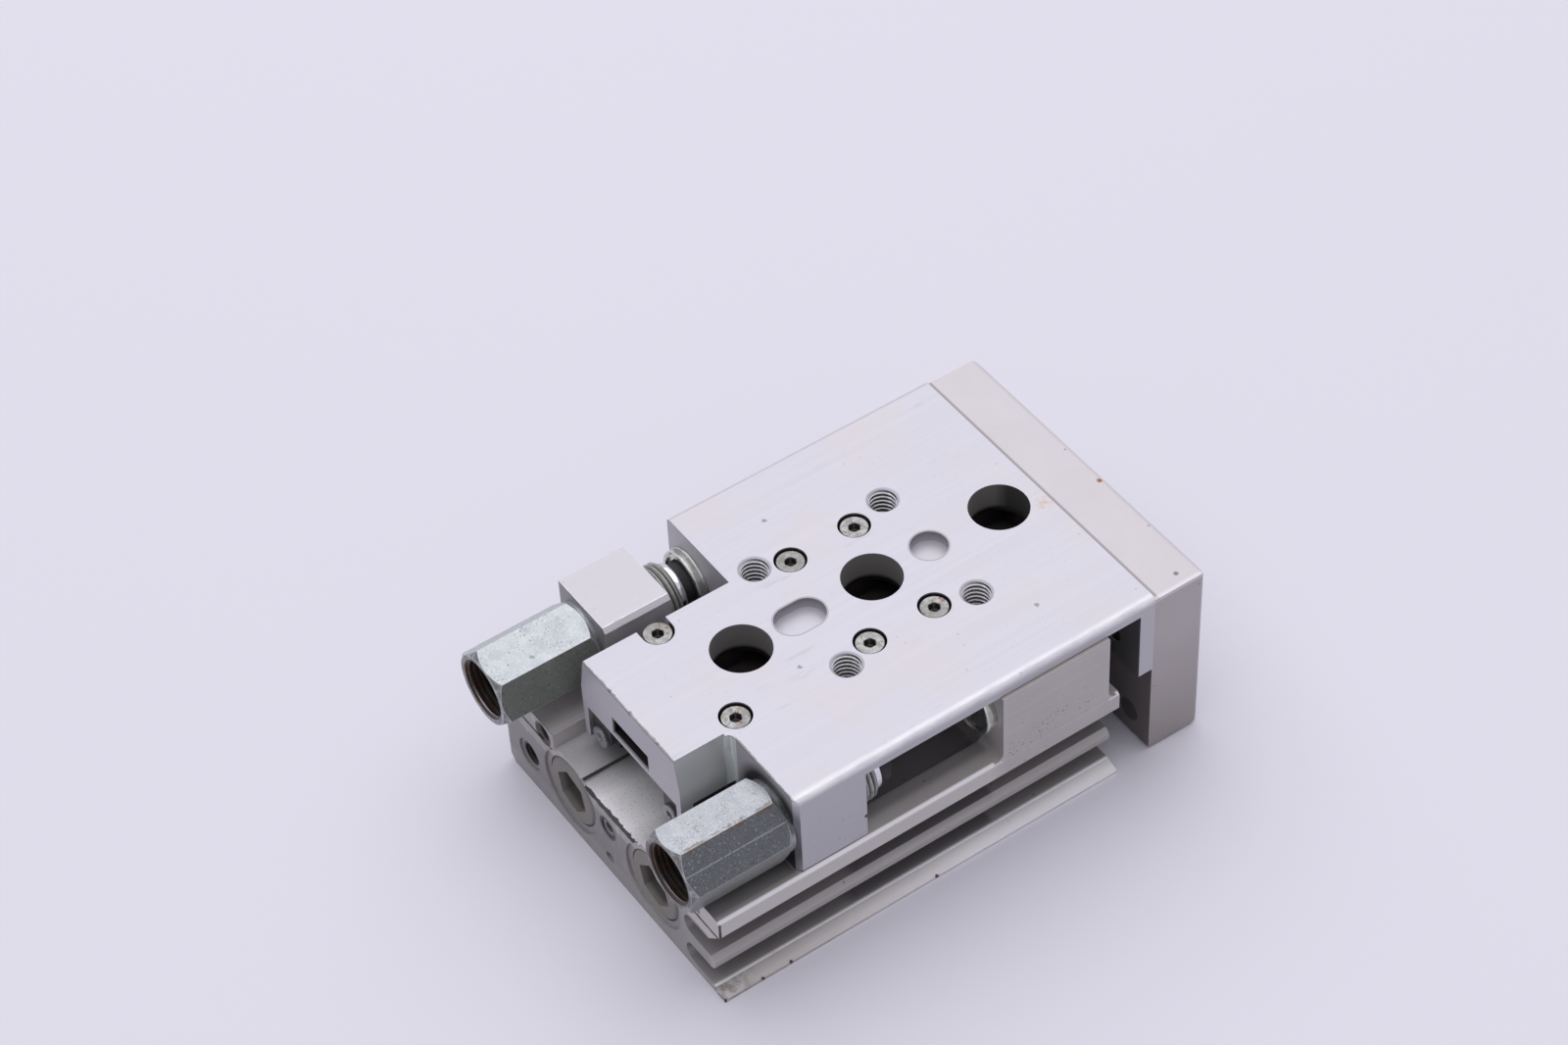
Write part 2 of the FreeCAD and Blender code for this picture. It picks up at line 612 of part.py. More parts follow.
def table_blank():
    # Tongue section, slightly wider low down, run along the whole table.
    tongue = prism_x([
        (-TONGUE_TOP_HALF, TABLE_TOP), (TONGUE_TOP_HALF, TABLE_TOP),
        (CAR_HALF, TONGUE_SLOPE_Z), (CAR_HALF, CAR_TOP),
        (-CAR_HALF, CAR_TOP), (-CAR_HALF, TONGUE_SLOPE_Z)], TONGUE_REAR, TABLE_FRONT)
    skirts = box(TONGUE_REAR, CAR_X0, -CAR_HALF, CAR_HALF, CAR_BOTTOM, CAR_TOP)
    skirts = skirts.cut(box(TONGUE_REAR, CAR_X0, -CAP_HALF - CAP_FIT, CAP_HALF + CAP_FIT, CAR_BOTTOM, CAR_TOP))
    core = box(NOTCH_X, TABLE_FRONT, -CORE_HALF, CORE_HALF, CAR_TOP, TABLE_TOP)
    far_wing = box(NOTCH_X, TABLE_FRONT, 0, TABLE_HALF, PLATE_UNDER, TABLE_TOP)
    near_wing = box(LUG_REAR, TABLE_FRONT, -TABLE_HALF, 0, PLATE_UNDER, TABLE_TOP)
    far_lug = box(NOTCH_X, FAR_LUG_FRONT, CAR_HALF, TABLE_HALF, LUG_BOTTOM, TABLE_TOP)
    near_lug = box(LUG_REAR, LUG_FRONT, -TABLE_HALF, -CAR_HALF, LUG_BOTTOM, TABLE_TOP)
    flange = box(TABLE_FRONT - FLANGE_THICK, TABLE_FRONT, -TABLE_HALF, TABLE_HALF, LUG_BOTTOM, TABLE_TOP)
    flange = flange.cut(box(TABLE_FRONT - FLANGE_THICK, CAR_X1 + CAP_LONG + CAP_CLEAR,
                            -CAR_HALF, CAR_HALF, LUG_BOTTOM, CAR_TOP))
    body = tongue.fuse([skirts, core, far_wing, near_wing, far_lug, near_lug, flange])
    return body.removeSplitter()


def rounded_table(body):
    def long_edge(mid, edge):
        return near(mid.z, TABLE_TOP) and near(abs(mid.y), TABLE_HALF)

    def corner_edge(mid, edge):
        return near(mid.y, -TABLE_HALF) and near(mid.x, LUG_REAR)

    body = body.makeChamfer(CORNER_CUT, edges_at(body, corner_edge))
    return body.makeFillet(TABLE_ROUND, edges_at(body, long_edge))


def table_cuts():
    cuts = [box(TONGUE_REAR, TABLE_FRONT - FLANGE_THICK, -TUNNEL_HALF, TUNNEL_HALF,
                TUNNEL_LOW, TUNNEL_HIGH)]
    for step in (-1, 0, 1):
        cuts.append(rod_z(TUNNEL_LOW, TABLE_TOP, step * PITCH, 0, ACCESS_R))
    for x in (THREAD_X - PITCH / 2, THREAD_X + PITCH / 2):
        for y in (-PITCH / 2, PITCH / 2):
            cuts.append(rod_z(TABLE_TOP - THREAD_DEEP, TABLE_TOP, x, y, THREAD_R))
            mouth = V(x, y, TABLE_TOP - THREAD_MOUTH)
            cuts.append(Part.makeCone(THREAD_R, THREAD_MOUTH_R, THREAD_MOUTH, mouth))
    cuts.append(rod_z(TABLE_TOP - DOWEL_DEEP, TABLE_TOP, DOWEL_X, 0, DOWEL_R))
    reach = SLOT_LONG / 2 - DOWEL_R
    middle = DOWEL_X - PITCH
    for end in (-reach, reach):
        cuts.append(rod_z(TABLE_TOP - DOWEL_DEEP, TABLE_TOP, middle + end, 0, DOWEL_R))
    cuts.append(box(middle - reach, middle + reach, -DOWEL_R, DOWEL_R, TABLE_TOP - DOWEL_DEEP, TABLE_TOP))
    for x in (CAR_SCREW_REAR, CAR_SCREW_MID, CAR_SCREW_FRONT):
        for y in (-CAR_SCREW_Y, CAR_SCREW_Y):
            cuts.append(rod_z(TABLE_TOP - SINK_DEEP, TABLE_TOP, x, y, SINK_R))
            cuts.append(rod_z(CAR_TOP, TABLE_TOP, x, y, M3_R + SHANK_CLEAR))
    cuts.append(box(CAR_SCREW_REAR - RELIEF_HALF, CAR_SCREW_REAR + RELIEF_HALF, CAR_SCREW_Y,
                    CAR_SCREW_Y + SINK_R, TABLE_TOP - SINK_DEEP, TABLE_TOP))
    for y in (-YOKE_SCREW_Y, YOKE_SCREW_Y):
        cuts.append(rod_x(TABLE_FRONT - YOKE_SCREW_DEEP, TABLE_FRONT, y, YOKE_SCREW_Z, M4_R))
    for y in (-YOKE_DOWEL_Y, YOKE_DOWEL_Y):
        cuts.append(rod_x(TABLE_FRONT - FLANGE_THICK, TABLE_FRONT, y, YOKE_DOWEL_Z, YOKE_DOWEL_R))
    cuts.append(rod_x(LUG_REAR, LUG_FRONT, NEAR_STOP_Y, STOP_Z, STOP_R + STOP_FIT))
    cuts.append(rod_x(NOTCH_X, NOTCH_X + BUTTON_STEM, FAR_STOP_Y, STOP_Z, BUTTON_STEM_R))
    return cuts


def corner_web():
    # Small inside radius between the tongue's near side and the lug's rear face.
    r = WEB_R
    x = LUG_REAR
    y = -(TONGUE_TOP_HALF + CAR_HALF) / 2
    web = box(x - r, x, y - r, -TONGUE_TOP_HALF, CAR_TOP, TABLE_TOP)
    return web.cut(rod_z(CAR_TOP, TABLE_TOP, x - r, y - r, r))


def make_table():
    body = rounded_table(table_blank()).fuse(corner_web())
    for cut in table_cuts():
        body = body.cut(cut)
    save("slide_table", body)
    screws = []
    for x in (CAR_SCREW_REAR, CAR_SCREW_MID, CAR_SCREW_FRONT):
        for y in (-CAR_SCREW_Y, CAR_SCREW_Y):
            seat = TABLE_TOP - SINK_DEEP
            shank = seat - CAR_TOP + CAR_SCREW_GRIP
            screws.append(aimed(cap_screw(M3_HEAD_R, M3_HEAD, M3_R - SEAT_FIT, shank, M3_HEX),
                                x, y, seat + M3_HEAD, (0, 0, 1)))
    save("carriage_screws", screws)


def make_yoke():
    body = box(TABLE_FRONT, YOKE_FRONT, -YOKE_HALF, YOKE_HALF, YOKE_BOTTOM, YOKE_TOP)

    def front_edge(mid, edge):
        return near(mid.x, YOKE_FRONT)

    body = body.makeFillet(YOKE_ROUND, edges_at(body, front_edge))
    screws = []
    pins = []
    rods = []
    for side in (1, -1):
        seat = YOKE_FRONT - YOKE_SINK_DEEP
        for y, z, grip in ((side * YOKE_SCREW_Y, YOKE_SCREW_Z, YOKE_SCREW_GRIP),
                           (side * BORE_Y, BORE_Z, ROD_SCREW_GRIP)):
            body = body.cut(rod_x(seat, YOKE_FRONT, y, z, YOKE_SINK_R))
            body = body.cut(rod_x(TABLE_FRONT, seat, y, z, M4_R + SHANK_CLEAR))
            shank = seat - TABLE_FRONT + grip
            thick = M4_R - SEAT_FIT if z > BORE_Z else M4_CORE_R
            screw = aimed(cap_screw(M4_HEAD_R, M4_HEAD, thick, shank, M4_HEX), seat + M4_HEAD, y, z, (1, 0, 0))
            (screws if z > BORE_Z else rods).append(screw)
        y = side * YOKE_DOWEL_Y
        body = body.cut(rod_x(TABLE_FRONT, TABLE_FRONT + YOKE_DOWEL_DEEP, y, YOKE_DOWEL_Z, YOKE_DOWEL_R))
        pins.append(rod_x(TABLE_FRONT - FLANGE_THICK + YOKE_DOWEL_SINK,
                          TABLE_FRONT + YOKE_DOWEL_DEEP - YOKE_DOWEL_SINK, y, YOKE_DOWEL_Z,
                          YOKE_DOWEL_R - SEAT_FIT))
    save("yoke_plate", body)
    save("yoke_screws", screws)
    save("rod_screws", rods)
    save("yoke_dowels", pins)


def make_pistons():
    rods = []
    pistons = []
    seals = []
    magnets = []
    x0 = PISTON_REAR
    x1 = x0 + PISTON_LAND
    x2 = x1 + PISTON_SEAL
    x3 = x2 + PISTON_LAND
    x4 = x3 + MAGNET_LONG
    x5 = x0 + PISTON_LONG
    r = BORE_R - PISTON_FIT
    seal_r = r - SEAL_SIZE
    magnet_r = r - MAGNET_DROP
    core_r = magnet_r - MAGNET_THICK
    for y in (BORE_Y, -BORE_Y):
        rod = rod_x(x5 - ROD_SEAT, TABLE_FRONT, y, BORE_Z, ROD_R)
        rods.append(rod.cut(rod_x(TABLE_FRONT - ROD_SCREW_DEEP, TABLE_FRONT, y, BORE_Z, M4_CORE_R + SEAT_FIT)))
        pistons.append(turned_x([
            (x0, 0), (x0, r), (x1, r), (x1, seal_r), (x2, seal_r), (x2, r), (x3, r), (x3, core_r),
            (x4, core_r), (x4, r), (x5, r), (x5, ROD_R), (x5 - ROD_SEAT, ROD_R), (x5 - ROD_SEAT, 0)],
            y, BORE_Z))
        seals.append(turned_x([(x1, seal_r), (x1, r), (x2, r), (x2, seal_r)], y, BORE_Z))
        magnets.append(turned_x([(x3, core_r), (x3, magnet_r), (x4, magnet_r), (x4, core_r)], y, BORE_Z))
    save("piston_rods", rods)
    save("pistons", pistons)
    save("piston_seals", seals)
    save("piston_magnets", magnets)


def make_stop_block():
    body = prism_x([
        (STOP_BLOCK_IN, WALL_TOP), (HOUSE_HALF, WALL_TOP), (HOUSE_HALF, STOP_BLOCK_TOP),
        (STOP_BLOCK_IN + STOP_BLOCK_EDGE, STOP_BLOCK_TOP),
        (STOP_BLOCK_IN, STOP_BLOCK_TOP - STOP_BLOCK_EDGE)], STOP_BLOCK_X0, STOP_BLOCK_X1)
    body = body.cut(rod_x(STOP_BLOCK_X0, STOP_BLOCK_X1, FAR_STOP_Y, STOP_Z, STOP_R + STOP_FIT))
    screws = []
    seat = M4_HEAD + BLOCK_SCREW_SINK
    reach = STOP_Z - STOP_R - STOP_FIT - BLOCK_THREAD_WALL
    for x in block_screw_places():
        body = body.cut(rod_z(WALL_TOP, reach, x, FAR_STOP_Y, M4_R))
        screw = cap_screw(M4_HEAD_R, M4_HEAD, M4_R - SEAT_FIT, reach - seat - BLOCK_SCREW_SHORT, M4_HEX)
        screws.append(aimed(screw, x, FAR_STOP_Y, seat - M4_HEAD, (0, 0, -1)))
    save("stop_block", body)
    save("stop_block_screws", screws)


def make_stop(name, y, bumper_front, thread_long):
    # One adjuster, from its bumper's front face back along the thread.
    holder_front = bumper_front - BUMPER_LONG
    sleeve_front = holder_front - HOLDER_LONG
    x1 = sleeve_front
    x0 = x1 - SLEEVE_LONG
    crest = STOP_R
    root = STOP_R - STOP_TOOTH
    points = [(x0, STOP_BORE_R), (x0, root), (x0 + STOP_TOOTH, crest)]
    teeth = int(thread_long / STOP_PITCH)
    x = x1 - STOP_TOOTH - teeth * STOP_PITCH
    for step in range(teeth):
        points += [(x, crest), (x + STOP_PITCH / 2, root)]
        x += STOP_PITCH
    points += [(x, crest), (x1, root), (x1, STOP_BORE_R)]
    sleeve = turned_x(points, y, STOP_Z)
    hex_x0 = x0 + SLEEVE_HEX_REAR
    plug = rod_x(hex_x0, hex_x0 + SLEEVE_HEX_DEEP + SLEEVE_PLUG, y, STOP_Z, STOP_BORE_R)
    sleeve = sleeve.fuse(plug).cut(hex_x(hex_x0, hex_x0 + SLEEVE_HEX_DEEP, y, STOP_Z, SLEEVE_HEX, 0))
    save(name + "_sleeve", sleeve)
    holder = rod_x(sleeve_front, holder_front, y, STOP_Z, HOLDER_R)
    holder = holder.fuse(rod_x(sleeve_front - HOLDER_STEM, sleeve_front, y, STOP_Z, STOP_BORE_R - SEAT_FIT))
    boss = rod_x(holder_front, holder_front + HOLDER_BOSS, y, STOP_Z, HOLDER_STEM_R)
    holder = holder.fuse(boss)
    save(name + "_bumper_holder", holder)
    bumper = cone_x(holder_front, bumper_front, y, STOP_Z, BUMPER_BACK_R, BUMPER_R)
    save(name + "_bumper", bumper.cut(boss))


def make_lock_nut(name, y, seat, tilt):
    # A long hexagon nut with a round collar against the lug or block.
    x1 = seat - NUT_COLLAR
    x0 = x1 - NUT_LONG
    corner = NUT_HEX / math.sqrt(3)
    nut = hex_x(x0, x1, y, STOP_Z, NUT_HEX, tilt)
    keep = turned_x([(x0, 0), (x0, NUT_FACE_R), (x0 + NUT_BEVEL, corner), (x1 - NUT_BEVEL, corner),
                     (x1, NUT_FACE_R), (x1, 0)], y, STOP_Z)
    nut = nut.common(keep)
    nut = nut.fuse(rod_x(x1, seat, y, STOP_Z, NUT_COLLAR_R))
    nut = nut.cut(rod_x(x0, seat, y, STOP_Z, NUT_MOUTH_R))
    nut = nut.cut(rod_x(x0 + NUT_MOUTH_LONG, seat, y, STOP_Z, STOP_R + STOP_FIT))
    nut = nut.cut(cone_x(x0, x0 + MOUTH_BEVEL, y, STOP_Z, NUT_MOUTH_R + MOUTH_BEVEL, NUT_MOUTH_R))
    save(name, nut)


def make_buttons():
    stem_r = BUTTON_STEM_R - SEAT_FIT
    stem = BUTTON_STEM - BUTTON_RIM
    x1 = NOTCH_X
    x0 = x1 - FAR_BUTTON_LONG
    save("retract_stop_button", turned_x([
        (x0 + CUP_DEEP, 0), (x0 + CUP_DEEP, CUP_R), (x0, CUP_R), (x0, BUTTON_R - BUTTON_EDGE),
        (x0 + BUTTON_EDGE, BUTTON_R), (x1 - BUTTON_RIM, BUTTON_R),
        (x1 - BUTTON_RIM, BUTTON_RIM_R), (x1, BUTTON_RIM_R), (x1, stem_r), (x1 + stem, stem_r),
        (x1 + stem, 0)], FAR_STOP_Y, STOP_Z))
    x1 = BLOCK_X0
    x0 = x1 - NEAR_BUTTON_LONG
    save("extend_stop_button", turned_x([
        (x0 + CUP_DEEP, 0), (x0 + CUP_DEEP, CUP_R), (x0, CUP_R), (x0, BUTTON_R - BUTTON_EDGE),
        (x0 + BUTTON_EDGE, BUTTON_R), (x1, BUTTON_R),
        (x1, stem_r), (x1 + stem, stem_r), (x1 + stem, 0)], NEAR_STOP_Y, STOP_Z))


make_housing()
make_bore_parts()
make_rear_details()
make_rail()
make_carriage()
make_table()
make_yoke()
make_pistons()
make_stop_block()
make_stop("retract_stop", FAR_STOP_Y, NOTCH_X - FAR_BUTTON_LONG + CUP_DEEP - TOUCH, FAR_THREAD_LONG)
make_stop("extend_stop", NEAR_STOP_Y, BLOCK_X0 - NEAR_BUTTON_LONG + CUP_DEEP - STROKE - TOUCH, NEAR_THREAD_LONG)
make_lock_nut("retract_lock_nut", FAR_STOP_Y, STOP_BLOCK_X0, FAR_NUT_TILT)
make_lock_nut("extend_lock_nut", NEAR_STOP_Y, LUG_REAR, NEAR_NUT_TILT)
make_buttons()
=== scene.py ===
"""Finish and small details of a guided mini slide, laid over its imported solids."""
import json
import math

import bpy
from mathutils import Matrix, Vector

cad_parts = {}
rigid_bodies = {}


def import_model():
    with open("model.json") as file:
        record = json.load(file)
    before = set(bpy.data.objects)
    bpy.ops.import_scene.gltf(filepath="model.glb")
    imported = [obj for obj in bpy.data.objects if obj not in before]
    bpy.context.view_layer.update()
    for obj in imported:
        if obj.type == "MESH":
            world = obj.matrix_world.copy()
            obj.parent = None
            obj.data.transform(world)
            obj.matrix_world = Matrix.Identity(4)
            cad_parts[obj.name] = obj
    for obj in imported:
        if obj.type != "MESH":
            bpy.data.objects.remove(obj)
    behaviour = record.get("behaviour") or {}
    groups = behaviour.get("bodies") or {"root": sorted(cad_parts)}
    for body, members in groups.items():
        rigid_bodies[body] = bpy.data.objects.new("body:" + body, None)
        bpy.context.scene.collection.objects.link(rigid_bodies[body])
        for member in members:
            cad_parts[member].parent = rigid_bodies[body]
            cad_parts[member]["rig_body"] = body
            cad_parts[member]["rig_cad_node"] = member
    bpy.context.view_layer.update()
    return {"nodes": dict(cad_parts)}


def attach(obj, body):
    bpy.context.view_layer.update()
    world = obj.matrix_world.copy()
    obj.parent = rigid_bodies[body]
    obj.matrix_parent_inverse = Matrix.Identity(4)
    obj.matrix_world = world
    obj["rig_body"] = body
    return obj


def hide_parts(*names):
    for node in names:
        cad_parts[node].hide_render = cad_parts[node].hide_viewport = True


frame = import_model()
NODES = frame["nodes"]

# Axes of the two end stops and of the two bores, in metres
STOP_Z = 0.0312
FAR_STOP_Y = 0.0270
NEAR_STOP_Y = -0.0268
BORE_Y = 0.0132
BORE_Z = 0.0107

# Faces that carry marks of their own, in metres
TABLE_TOP = 0.04125
TABLE_REAR = -0.0518
NOTCH_WALL = -0.04045
YOKE_TOP = 0.0403
HOUSE_REAR = -0.0575
HOUSE_SIDE = -0.0346
FAR_NUT_REAR = -0.0653
NEAR_NUT_REAR = -0.06195

# Directions in which a surface can look
UP = (0.0, 0.0, 1.0)
DOWN = (0.0, 0.0, -1.0)
REARWARD = (-1.0, 0.0, 0.0)
NEARWARD = (0.0, -1.0, 0.0)
FARWARD = (0.0, 1.0, 0.0)

# Parts of a distance that count, so that a round spot becomes a bar or a slab
BAR_X = (0.0, 1.0, 1.0)
BAR_Y = (1.0, 0.0, 1.0)
BAR_Z = (1.0, 1.0, 0.0)
SLAB_X = (1.0, 0.0, 0.0)
SLAB_Y = (0.0, 1.0, 0.0)
MIDDLE = (0.0, 0.0, 0.0)

# Screw threads, in metres: pitch, root and crest of the bars that form them
STOP_PITCH = 0.001
STOP_CREST = 0.0060
STOP_ROOT = 0.00545
TABLE_TAP_PITCH = 0.001
TABLE_TAP_ROOT = 0.0023
TABLE_TAP_CREST = 0.00298
PORT_TAP_PITCH = 0.0008
PORT_TAP_ROOT = 0.0019
PORT_TAP_CREST = 0.0025
THREAD_STEPS = 32
TABLE_TAP_LONG = 0.0088
TABLE_TAP_DEEP = 0.0086
PORT_TAP_LONG = 0.0075
NUT_TAP_LONG = 0.0062

# Sizes of a stop sleeve, in metres. The last four are distances from its rear end
OVERCUT = 0.001
SLEEVE_BEVEL = 0.0005
SLEEVE_BORE_R = 0.0040
SLEEVE_MOUTH = 0.003
SLEEVE_HEX_FROM = 0.002
SLEEVE_HEX_TO = 0.0065
SLEEVE_STEM_FROM = 0.0105

# Rounding of edges, in metres, and the angle in degrees from which an edge is sharp
FINE_ROUND = 0.00016
NUT_ROUND = 0.00018
YOKE_ROUND = 0.0006
SHARP_ANGLE = 35.0

# Places and radii of holes in the table's top and the rear face, in metres
ACCESS_HOLES = ((-0.028, 0.0, 0.0), (0.0, 0.0, 0.0), (0.028, 0.0, 0.0))
ACCESS_R = 0.00565
SINKS = [(x, y, 0.0) for x in (-0.03745, -0.00915, 0.00475) for y in (-0.012, 0.012)]
SINK_R = 0.00305
TABLE_TAPS = [(x, y, 0.0) for x in (-0.0155, 0.0125) for y in (-0.014, 0.014)]
PLUG_BORES = ((0.0, -BORE_Y, BORE_Z), (0.0, BORE_Y, BORE_Z))
PORT = (-0.0576, 0.0274, 0.0077)
REAR_HOLES = (PORT, (0.0, 0.0212, 0.0193), (0.0, 0.0010, 0.0127))

# Marks that wear has left, the locating holes, and the notch's web that carries a painted
# highlight
TABLE_NICKS = [(x, y, TABLE_TOP) for x, y in (
    (-0.0517, 0.0057), (-0.0517, -0.0005), (-0.0517, -0.0092),
    (-0.0212, 0.0336), (0.01906, -0.02272), (-0.02236, -0.00958),
    (-0.00736, 0.02262), (0.00724, -0.0337), (-0.00709, 0.0339))]
LOCATORS = [(x, 0.0, 0.0) for x in (0.0125, -0.0170, -0.0163, -0.0155, -0.0147, -0.0140)]
WEB_X = -0.0409
WEB_Y = -0.01525
PIT_BAND = [(x, HOUSE_SIDE, z) for x, z in (
    (0.0045, 0.0226), (0.0084, 0.0230), (0.0118, 0.0254), (0.0160, 0.0255), (0.0205, 0.0251))]


# Small helpers

def pick_none():
    active = bpy.context.view_layer.objects.active
    if active and active.mode != "OBJECT":
        bpy.ops.object.mode_set(mode="OBJECT")
    bpy.ops.object.select_all(action="DESELECT")


def make_active(obj):
    pick_none()
    obj.select_set(True)
    bpy.context.view_layer.objects.active = obj


def edit(obj, mode="FACE"):
    make_active(obj)
    bpy.ops.object.mode_set(mode="EDIT")
    bpy.ops.mesh.select_mode(type=mode)
    bpy.ops.mesh.select_all(action="DESELECT")
    bpy.ops.object.mode_set(mode="OBJECT")


def pick_faces(obj, test):
    # Leaves edit mode with only the faces chosen that pass the test.
    edit(obj, "FACE")
    for face in obj.data.polygons:
        face.select = bool(test(face))
    bpy.ops.object.mode_set(mode="EDIT")


def apply_modifiers(obj):
    make_active(obj)
    for modifier in list(obj.modifiers):
        bpy.ops.object.modifier_apply(modifier=modifier.name)


def settle(obj):
    # Leaves the object at the origin, with its place in its mesh.
    make_active(obj)
    bpy.ops.object.transform_apply(location=True, rotation=True, scale=True)


def face_outwards(obj):
    make_active(obj)
    bpy.ops.object.mode_set(mode="EDIT")
    bpy.ops.mesh.select_all(action="SELECT")
    bpy.ops.mesh.remove_doubles(threshold=0.000001)
    bpy.ops.mesh.normals_make_consistent(inside=False)
    bpy.ops.object.mode_set(mode="OBJECT")


def finish_piece(obj, name, body, materials, nodes):
    obj.name = name
    obj.data.name = name
    while len(obj.data.materials) < len(materials):
        obj.data.materials.append(None)
    for index, material in enumerate(materials):
        obj.data.materials[index] = material
    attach(obj, body)
    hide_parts(*nodes)


def merged_copy(node):
    # A copy of a solid's mesh, its loose triangles joined to clean faces.
    source = NODES[node]
    copy = source.copy()
    copy.data = source.data.copy()
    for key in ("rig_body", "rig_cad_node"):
        if key in copy:
            del copy[key]
    copy.parent = None
    bpy.context.scene.collection.objects.link(copy)
    copy.matrix_world = Matrix.Identity(4)
    copy.data.materials.clear()
    make_active(copy)
    if copy.data.has_custom_normals:
        bpy.ops.mesh.customdata_custom_splitnormals_clear()
    bpy.ops.object.mode_set(mode="EDIT")
    bpy.ops.mesh.select_all(action="SELECT")
    bpy.ops.mesh.remove_doubles(threshold=0.000002)
    bpy.ops.mesh.dissolve_limited(angle_limit=math.radians(0.5))
    bpy.ops.object.mode_set(mode="OBJECT")
    return copy


def soften(obj, width, segments=2):
    # Rounds the sharp edges. The rounded strips take the second material.
    obj.data.materials.append(None)
    obj.data.materials.append(None)
    bevel = obj.modifiers.new("soft_edges", "BEVEL")
    bevel.width = width
    bevel.segments = segments
    bevel.limit_method = "ANGLE"
    bevel.angle_limit = math.radians(SHARP_ANGLE)
    bevel.use_clamp_overlap = True
    bevel.miter_outer = "MITER_ARC"
    bevel.material = 1
    apply_modifiers(obj)


def level(obj, angle=28.0):
    # Smooth on round surfaces, flat on the flats beside rounded edges.
    make_active(obj)
    bpy.ops.object.shade_smooth_by_angle(angle=math.radians(angle))
    even = obj.modifiers.new("even_normals", "WEIGHTED_NORMAL")
    even.mode = "FACE_AREA"
    even.weight = 100
    even.keep_sharp = True
    apply_modifiers(obj)


def cut_away(obj, tool, operation="DIFFERENCE"):
    cut = obj.modifiers.new("cut", "BOOLEAN")
    cut.operation = operation
    cut.solver = "EXACT"
    cut.object = tool
    apply_modifiers(obj)
    bpy.data.objects.remove(tool)


def bar_x(x0, x1, y, z, r, sides):
    bpy.ops.object.select_all(action="DESELECT")
    bpy.ops.mesh.primitive_cylinder_add(
        vertices=sides, radius=r, depth=x1 - x0, location=((x0 + x1) / 2, y, z),
        rotation=(0, math.pi / 2, 0))
    obj = bpy.context.object
    settle(obj)
    return obj


# Materials

def tone(r, g, b):
    # A colour read off a screen, as the shader wants it.
    def part(c):
        c = c / 255.0
        return c / 12.92 if c <= 0.04045 else ((c + 0.055) / 1.055) ** 2.4
    return (part(r), part(g), part(b), 1.0)


